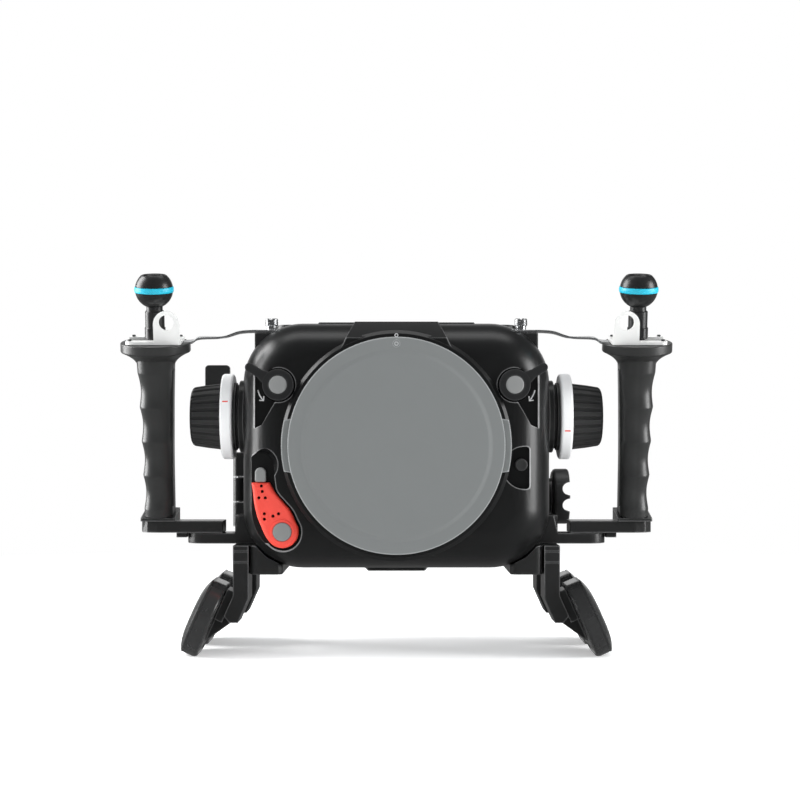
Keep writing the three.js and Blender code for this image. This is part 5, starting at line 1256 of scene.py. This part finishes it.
def ball_ring():
    inner, outer = BALL_RADIUS - BALL_RING_DEPTH, BALL_RADIUS + BALL_RING_PROUD
    half = BALL_RING_WIDTH / 2
    low, high = BALL_CENTRE - half, BALL_CENTRE + half
    bulge = []
    for degrees in range(-90, 91, 15):
        angle = math.radians(degrees)
        radius = mix(outer - BALL_RING_PROUD, outer, math.cos(angle))
        bulge.append((radius, BALL_CENTRE + half * math.sin(angle)))
    return turned([(inner, low), *bulge, (inner, high), (inner, low)], "z", FINE)


# Stand

def foot_pad(front):
    """A rubber pad with a crowned outer face and a seam line round its rim."""
    half_length, half_height = PAD_LENGTH / 2, PAD_HEIGHT / 2
    back, shoulder = -PAD_THICKNESS / 2, PAD_THICKNESS / 2 - PAD_CROWN
    profile = [(PAD_EDGE + inset, back + rise) for inset, rise in PAD_GROOVE]
    profile += [(PAD_EDGE - y, back + PAD_EDGE - x) for x, y in arc(0, 0, PAD_EDGE, 0, 90, 5)]
    profile += [(inset, shoulder - drop) for inset, drop in PAD_SEAM]
    for step in range(9):
        share = step / 8
        rise = 1 - (1 - share) ** 2.2
        profile.append((half_height * PAD_CROWN_SPAN * share, shoulder + PAD_CROWN * rise))
    rings = []
    for inset, x in profile:
        outline = rounded(half_length - inset, half_height - inset, PAD_CORNER - inset)
        rings.append([(x, y, z) for y, z in outline])
    pad = spun(loft(rings), -LEG_SPLAY, "y")
    lowered = (LEG_KINK - PAD_CENTRE_Z) * math.tan(LEG_SPLAY)
    centre_x = LEG_OUTER + lowered + (PAD_STANDOFF + GAP + PAD_THICKNESS / 2) / math.cos(LEG_SPLAY)
    shifted(pad, centre_x, front + LEG_WIDTH / 2, PAD_CENTRE_Z)
    ground = -CENTRE.z / MM
    below = block((0, -REACH, ground - 4 * REACH), (2 * HALF_WIDTH, PARTING_Y + 4 * REACH, ground))
    return carved(pad, below)


def leg_seams(x, front):
    """Cutters for the seams across the head of a leg."""
    seams = []
    for z in LEG_SEAMS:
        low = (x - REACH * 2.5, front - 1, z - LEG_SEAM_HALF)
        seams.append(block(low, (x + REACH * 2.5, front + LEG_SEAM_DEPTH, z + LEG_SEAM_HALF)))
    return seams


# Stage

def area_light(name, place, aim, size, power):
    lamp = bpy.data.lights.new(name, "AREA")
    lamp.shape, lamp.size, lamp.size_y = "RECTANGLE", size[0], size[1]
    lamp.energy = power
    thing = linked(name, lamp)
    thing.location = place
    thing.rotation_euler = (Vector(aim) - Vector(place)).to_track_quat("-Z", "Y").to_euler()


def greater(tree, a, b):
    return node(tree, "ShaderNodeMath", {0: a, 1: b}, operation="MAXIMUM").outputs["Value"]


def seen_rays(tree):
    """1 for camera, glossy and transmission rays."""
    path = node(tree, "ShaderNodeLightPath").outputs
    mirrored = greater(tree, path["Is Camera Ray"], path["Is Glossy Ray"])
    return greater(tree, mirrored, path["Is Transmission Ray"])


def mixed(tree, share, a, b):
    return node(tree, "ShaderNodeMixShader", {0: share, 1: a, 2: b}).outputs[0]


def glow(tree, strength):
    return node(tree, "ShaderNodeEmission", {"Color": WHITE, "Strength": strength}).outputs[0]


def backdrop(tree, strength, colour=WHITE):
    return node(tree, "ShaderNodeBackground", {"Color": colour, "Strength": strength}).outputs[0]


def told_apart(tree, unseen, seen, in_gloss):
    """One look for light on the object, one for the eye and one for what gloss mirrors."""
    glossy = node(tree, "ShaderNodeLightPath").outputs["Is Glossy Ray"]
    return mixed(tree, glossy, mixed(tree, seen_rays(tree), unseen, seen), in_gloss)


def make_world(settings):
    """White for the eye, even light on the object, and a room that dims behind the viewer."""
    world = bpy.data.worlds.new("studio")
    world.use_nodes = True
    tree = world.node_tree
    tree.nodes.clear()
    coords = node(tree, "ShaderNodeTexCoord").outputs["Generated"]
    direction = node(tree, "ShaderNodeSeparateXYZ", {0: coords})
    towards_back = ranged(tree, direction.outputs["Y"], BACK_FROM, BACK_FULL, settings.room, 1)
    light = backdrop(tree, settings.fill, COOL_WHITE)
    told = told_apart(tree, light, backdrop(tree, 1.0), backdrop(tree, towards_back))
    node(tree, "ShaderNodeOutputWorld", {"Surface": told})
    bpy.context.scene.world = world


def make_floor(low_z):
    """A pale floor that turns white away from the object and is dim in gloss."""
    material, tree, shader = new_tree("pale_floor")
    place = node(tree, "ShaderNodeNewGeometry").outputs["Position"]
    distance = node(tree, "ShaderNodeVectorMath", {0: place}, operation="LENGTH").outputs["Value"]
    far = ranged(tree, distance, FLOOR_NEAR, FLOOR_FAR, 0, 1)
    shader.inputs["Base Color"].default_value = PALE
    shader.inputs["Roughness"].default_value = 0.9
    shader.inputs["Specular IOR Level"].default_value = 0.0
    plain_floor = shader.outputs[0]
    lit = node(tree, "ShaderNodeAddShader", {0: plain_floor, 1: glow(tree, FLOOR_LIFT)}).outputs[0]
    faded = mixed(tree, far, lit, glow(tree, 1.0))
    told = told_apart(tree, plain_floor, faded, glow(tree, FLOOR_MIRRORED))
    tree.links.new(told, tree.nodes["Material Output"].inputs["Surface"])
    mesh = slab(circle(FLOOR_RADIUS / MM, 96), -FLOOR_THICKNESS / MM, 0, "z")
    mesh.transform(Matrix.Translation((0, 0, low_z)) @ Matrix.Scale(MM, 4))
    mesh.materials.append(material)
    linked("floor", mesh)


# Properties

def colour(name, description, value):
    return bpy.props.FloatVectorProperty(
        name=name, description=description, subtype="COLOR", size=4, min=0, max=1, default=value)


class HousingColours(bpy.types.PropertyGroup):
    """Colours of the finishes."""
    shell: colour("Shell", "Anodised black of the shell and the door", (0.0075, 0.0078, 0.008, 1))
    arms: colour("Arms", "Anodised black of the arms, rails and legs", (0.0165, 0.0167, 0.0167, 1))
    levers: colour("Levers", "Blasted black of the port locks", (0.016, 0.0163, 0.0167, 1))
    inner: colour("Inner metal", "Bare dark metal inside", (0.08, 0.082, 0.085, 1))
    cap: colour("Cap", "Grey plastic of the port cap", (0.178, 0.187, 0.185, 1))
    discs: colour("Discs", "Grey discs on the levers", (0.226, 0.23, 0.226, 1))
    record: colour("Record lever", "Red of the record lever", (0.86, 0.068, 0.045, 1))
    rings: colour("Knob rings", "White rings on the knobs", (0.88, 0.88, 0.88, 1))
    controls: colour("Controls", "Black plastic of buttons, latch and paddle", (0.026, 0.026, 0.0262, 1))
    rubber: colour("Rubber", "Black rubber of knobs, pads and seals", (0.028, 0.0282, 0.0282, 1))
    grips: colour("Grips", "Dark rubber of the finger grips", (0.026, 0.0265, 0.026, 1))
    balls: colour("Balls", "Anodised black of the balls", (0.013, 0.0132, 0.0135, 1))
    seals: colour("Seals", "Blue of the rings and the door seal", (0.01, 0.42, 0.58, 1))
    steel: colour("Steel", "Bare steel of plates, stays and screws", (0.62, 0.63, 0.64, 1))
    plates: colour("Plates", "Blasted steel of the top plates", (0.9, 0.9, 0.88, 1))
    window: colour("Window", "Clear pane in the door", (0.9, 0.95, 0.96, 1))
    marks: colour("Marks", "White paint of the printed signs", (0.75, 0.75, 0.75, 1))
    # Colour of the painted shade: a near-black ring laid in the gap round each lock hub
    gaps: colour("Gaps", "Deep shade between close pieces", (0.004, 0.004, 0.004, 1))


class HousingSizes(bpy.types.PropertyGroup):
    """Sizes of the fine edges."""
    edge: bpy.props.FloatProperty(
        name="Edge", description="Rounding of the shell's machined edges", default=0.0006,
        min=0.0001, max=0.002, precision=4, subtype="DISTANCE", unit="LENGTH")
    arm_edge: bpy.props.FloatProperty(
        name="Arm edge", description="Rounding of the edges of arms, rails and legs", default=0.0008,
        min=0.0001, max=0.002, precision=4, subtype="DISTANCE", unit="LENGTH")
    mark: bpy.props.FloatProperty(
        name="Mark", description="Thickness of the printed signs", default=0.0001,
        min=0.00005, max=0.0005, precision=5, subtype="DISTANCE", unit="LENGTH")


class HousingStage(bpy.types.PropertyGroup):
    """Light and camera of the studio."""
    fill: bpy.props.FloatProperty(
        name="Fill", description="Strength of the even light from all around", default=0.95, min=0, max=2)
    room: bpy.props.FloatProperty(
        name="Room", description="Brightness of the room that gloss mirrors from the viewer's side",
        default=0.06, min=0, max=1)
    key: bpy.props.FloatProperty(
        name="Key", description="Power of the side strips", default=18.0, min=0, max=200, unit="POWER")
    top: bpy.props.FloatProperty(
        name="Top", description="Power of the overhead panel", default=4.0, min=0, max=200, unit="POWER")
    lens: bpy.props.FloatProperty(
        name="Lens", description="Focal length in millimetres", default=80.7, min=20, max=200)


# Operators

class HOUSING_OT_shell(bpy.types.Operator):
    """Builds the front shell with its port boss, facet, pockets and deck"""
    bl_idname = "housing.shell"
    bl_label = "Front shell"

    def execute(self, context):
        edge = context.scene.housing_sizes.edge / MM
        dress("front_shell", softened(front_shell(), edge))
        dress("base_plate", refined("base_plate"))
        add_to("front_shell", "index_ring", index_ring(), "shell_black", look="paint_white")
        return {"FINISHED"}


class HOUSING_OT_port_cap(bpy.types.Operator):
    """Builds the port cap with its raised face, rim and tabs"""
    bl_idname = "housing.port_cap"
    bl_label = "Port cap"

    def execute(self, context):
        dress("port_cap", port_cap())
        return {"FINISHED"}


class HOUSING_OT_locks(bpy.types.Operator):
    """Builds the two port lock levers with their discs"""
    bl_idname = "housing.locks"
    bl_label = "Port locks"

    def execute(self, context):
        for side, sign in SIDES:
            dress(side + "_lock_lever", lock_lever(), sign)
            cap = disc(LOCK_DISC, LOCK_FRONT - LOCK_DISC_RISE, LOCK_FRONT + 2 - GAP)
            dress(side + "_lock_cap", shifted(cap, LOCK_X, 0, LOCK_Z), sign)
            add_to("front_shell", side + "_lock_arrow", turn_arrow(), "shell_black", sign, look="paint_white")
            # A thin near-black ring on the floor of the seat round the hub paints the shade in the gap
            floor = LOCK_FRONT + LOCK_THICKNESS + GAP
            shade_ring = tube(LOCK_HUB + LOCK_SHADE, LOCK_HUB - 1, floor - LOCK_SHADE_DEPTH, floor, "y")
            shifted(shade_ring, LOCK_X, 0, LOCK_Z)
            add_to("front_shell", side + "_lock_gap", shade_ring, "shell_black", sign, look="dark_gap")
        return {"FINISHED"}


class HOUSING_OT_record_lever(bpy.types.Operator):
    """Builds the red record lever, its disc and its tip"""
    bl_idname = "housing.record_lever"
    bl_label = "Record lever"

    def execute(self, context):
        dress("record_lever", record_lever())
        front = REC_FRONT - 2 * REC_COLLAR_RISE
        back = REC_FRONT - REC_COLLAR_RISE + REC_SEAT - GAP
        dress("record_cap", shifted(disc(REC_DISC, front, back), -REC_X, 0, -REC_Z))
        dress("record_tip", record_tip())
        return {"FINISHED"}


class HOUSING_OT_lens_button(bpy.types.Operator):
    """Builds the lens release button"""
    bl_idname = "housing.lens_button"
    bl_label = "Lens release"

    def execute(self, context):
        dress("lens_release_button", lens_button())
        return {"FINISHED"}


class HOUSING_OT_knobs(bpy.types.Operator):
    """Builds the two side knobs: base, white ring and fluted grip"""
    bl_idname = "housing.knobs"
    bl_label = "Side knobs"

    def execute(self, context):
        for side, sign in SIDES:
            dress(side + "_knob_base", knob_base(), sign)
            dress(side + "_knob_ring", knob_ring(), sign)
            tick = block((RING_NEAR + TICK_NEAR, -TICK_HALF, 0),
                         (RING_FAR - TICK_FAR, TICK_HALF, RING_OUTER + TICK_PROUD))
            tick = carved(tick, block((RING_NEAR, -2, 0), (RING_FAR, 2, RING_OUTER - TICK_ROOT)))
            shifted(spun(tick, math.radians(TICK_ANGLES[sign]), "x"), 0, KNOB_Y, KNOB_Z)
            add_to(side + "_knob_ring", side + "_ring_tick", tick, "ring_white", sign, look="paint_red")
            dress(side + "_knob_grip", knob_grip(), sign)
        return {"FINISHED"}


class HOUSING_OT_paddle_latch(bpy.types.Operator):
    """Builds the thumb paddle and the door latch"""
    bl_idname = "housing.paddle_latch"
    bl_label = "Paddle and latch"

    def execute(self, context):
        dress("thumb_paddle", thumb_paddle())
        dress("latch_knob", latch_knob())
        return {"FINISHED"}


class HOUSING_OT_rear(bpy.types.Operator):
    """Builds the rear door, its window, buttons and dial, and the hinge pin"""
    bl_idname = "housing.rear"
    bl_label = "Rear door"

    def execute(self, context):
        dress("rear_door", softened(rear_door(), context.scene.housing_sizes.edge / MM))
        outline = rounded(*WINDOW_HALF, WINDOW_CORNER, SMALL_STEPS)
        back = DOOR_BACK - WINDOW_SINK
        pane = slab(moved(outline, WINDOW_X, 0), back - WINDOW_THICKNESS, back)
        dress("rear_window", softened(pane, 0.5))
        for index, z in enumerate(REAR_BUTTON_Z):
            dress(f"rear_button_{index + 1}", rear_button(z))
        dress("rear_dial", rear_dial())
        pin = softened(rod(HINGE_PIN, HINGE_FOOT, HINGE_TOP, "z"), 0.3)
        dress("hinge_pin", shifted(pin, -HINGE_X, PARTING_Y, 0))
        return {"FINISHED"}


class HOUSING_OT_inside(bpy.types.Operator):
    """Builds the port ring, the camera tray and the seals"""
    bl_idname = "housing.inside"
    bl_label = "Inside"

    def execute(self, context):
        dress("port_ring", softened(port_ring(), 0.4))
        dress("camera_tray", refined("camera_tray"))
        middle = SIDE_WALL / 2
        seal = carved(slab(cavity(middle - SEAL_WIDTH / 2), PARTING_Y - SEAL_DEPTH, PARTING_Y),
                      slab(cavity(middle + SEAL_WIDTH / 2), PARTING_Y - REACH, PARTING_Y + REACH))
        dress("body_seal", softened(seal, 0.7, 3))
        low = CAP_PLUG_DEPTH / 2 - CAP_SEAL_WIDTH / 2
        plug = MOUTH_RADIUS - GAP
        ring = tube(plug, plug - CAP_SEAL_DEPTH, low, low + CAP_SEAL_WIDTH, "y", FINE)
        dress("cap_seal", softened(ring, 0.5, 3))
        return {"FINISHED"}


class HOUSING_OT_top_fittings(bpy.types.Operator):
    """Builds the bulkhead plugs, the stay posts, the stays and their thumb screws"""
    bl_idname = "housing.top_fittings"
    bl_label = "Top fittings"

    def execute(self, context):
        for side, sign in SIDES:
            dress(side + "_bulkhead_plug", bulkhead_plug(), sign)
            dress(side + "_stay_post", stay_post(), sign)
            dress(side + "_stay", stay(), sign)
            dress(side + "_thumb_screw", thumb_screw(), sign)
        return {"FINISHED"}


class HOUSING_OT_handles(bpy.types.Operator):
    """Builds the grips, their top plates and the arms below them"""
    bl_idname = "housing.handles"
    bl_label = "Handles"

    def execute(self, context):
        edge = context.scene.housing_sizes.arm_edge / MM
        for side, sign in SIDES:
            dress(side + "_grip", grip(), sign, True)
            add_to(side + "_grip", side + "_grip_seam", grip_spine(), "grip_rubber", sign, True)
            dress(side + "_top_plate", top_plate(), sign, True, "plate_steel")
            for corner, x, y in PLATE_CORNERS:
                screw = softened(rod(SCREW_RADIUS, PLATE_TOP, PLATE_TOP + SCREW_HEIGHT, "z", TINY), 0.4)
                shifted(screw, x * (PLATE_HALF - SCREW_INSET), y * (PLATE_HALF_DEPTH - SCREW_SHIFT), 0)
                name = f"{side}_plate_screw_{corner}"
                add_to(side + "_top_plate", name, screw, "bright_steel", sign, True, "lever_black")
            for part in ("_handle_arm", "_bracket_arm"):
                arm = upright_rounded(plain(side + part), ARM_CORNER)
                dress(side + part, softened(arm, edge, 2, 40))
            dress(side + "_side_rail", refined(side + "_side_rail", edge))
        return {"FINISHED"}


class HOUSING_OT_balls(bpy.types.Operator):
    """Builds the ball mounts and their blue rings"""
    bl_idname = "housing.balls"
    bl_label = "Ball mounts"

    def execute(self, context):
        for side, sign in SIDES:
            dress(side + "_ball_mount", ball_mount(), sign, True)
            dress(side + "_ball_ring", ball_ring(), sign, True)
        return {"FINISHED"}


class HOUSING_OT_stand(bpy.types.Operator):
    """Builds the four legs and their rubber pads"""
    bl_idname = "housing.stand"
    bl_label = "Stand"

    def execute(self, context):
        edge = context.scene.housing_sizes.arm_edge / MM
        for side, sign in SIDES:
            for end, front in (("front", RAIL_FRONT), ("rear", RAIL_FRONT + LEG_PITCH)):
                leg = refined(f"{side}_{end}_leg", edge)
                dress(f"{side}_{end}_leg", carved(leg, *leg_seams(sign * LEG_OUTER, front)))
                dress(f"{side}_{end}_foot_pad", foot_pad(front), sign)
        return {"FINISHED"}


class HOUSING_OT_stage(bpy.types.Operator):
    """Sets the pale floor, the studio light and the camera"""
    bl_idname = "housing.stage"
    bl_label = "Stage"

    def execute(self, context):
        scene = context.scene
        settings = scene.housing_stage
        scene.view_settings.view_transform = "Standard"
        make_world(settings)
        make_floor(CAD_BOX[0][2])
        powers = (LEFT_SHARE * settings.key, settings.key, settings.top)
        for (name, place, aim, size), power in zip(LAMPS, powers):
            area_light(name, place, aim, size, power)
        data = bpy.data.cameras.new("camera")
        data.lens, data.sensor_width, data.sensor_fit = settings.lens, SENSOR, "HORIZONTAL"
        data.shift_x, data.shift_y = CAMERA_SHIFT
        data.dof.use_dof = False
        camera = linked("camera", data)
        camera.location = CAMERA_PLACE
        camera.rotation_euler = (math.radians(90), 0, 0)
        scene.camera = camera
        return {"FINISHED"}


class HOUSING_PT_panel(bpy.types.Panel):
    """Lists the colours, the sizes and the builders"""
    bl_idname = "HOUSING_PT_panel"
    bl_label = "Underwater housing"
    bl_space_type = "VIEW_3D"
    bl_region_type = "UI"
    bl_category = "Housing"

    def draw(self, context):
        scene = context.scene
        for group in (scene.housing_colours, scene.housing_sizes, scene.housing_stage):
            box = self.layout.box()
            for name in group.__annotations__:
                box.prop(group, name)
        for operator in OPERATORS:
            self.layout.operator(operator.bl_idname)


GROUPS = (
    ("housing_colours", HousingColours),
    ("housing_sizes", HousingSizes),
    ("housing_stage", HousingStage),
)
OPERATORS = (
    HOUSING_OT_stage,
    HOUSING_OT_shell,
    HOUSING_OT_port_cap,
    HOUSING_OT_locks,
    HOUSING_OT_record_lever,
    HOUSING_OT_lens_button,
    HOUSING_OT_knobs,
    HOUSING_OT_paddle_latch,
    HOUSING_OT_rear,
    HOUSING_OT_inside,
    HOUSING_OT_top_fittings,
    HOUSING_OT_handles,
    HOUSING_OT_balls,
    HOUSING_OT_stand,
)


def register():
    for name, group in GROUPS:
        bpy.utils.register_class(group)
        setattr(bpy.types.Scene, name, bpy.props.PointerProperty(type=group))
    for made in (*OPERATORS, HOUSING_PT_panel):
        bpy.utils.register_class(made)


def unregister():
    for made in (HOUSING_PT_panel, *reversed(OPERATORS)):
        bpy.utils.unregister_class(made)
    for name, group in reversed(GROUPS):
        delattr(bpy.types.Scene, name)
        bpy.utils.unregister_class(group)


def main():
    register()
    for operator in OPERATORS:
        family, name = operator.bl_idname.split(".")
        getattr(getattr(bpy.ops, family), name)()


if __name__ == "__main__":
    main()
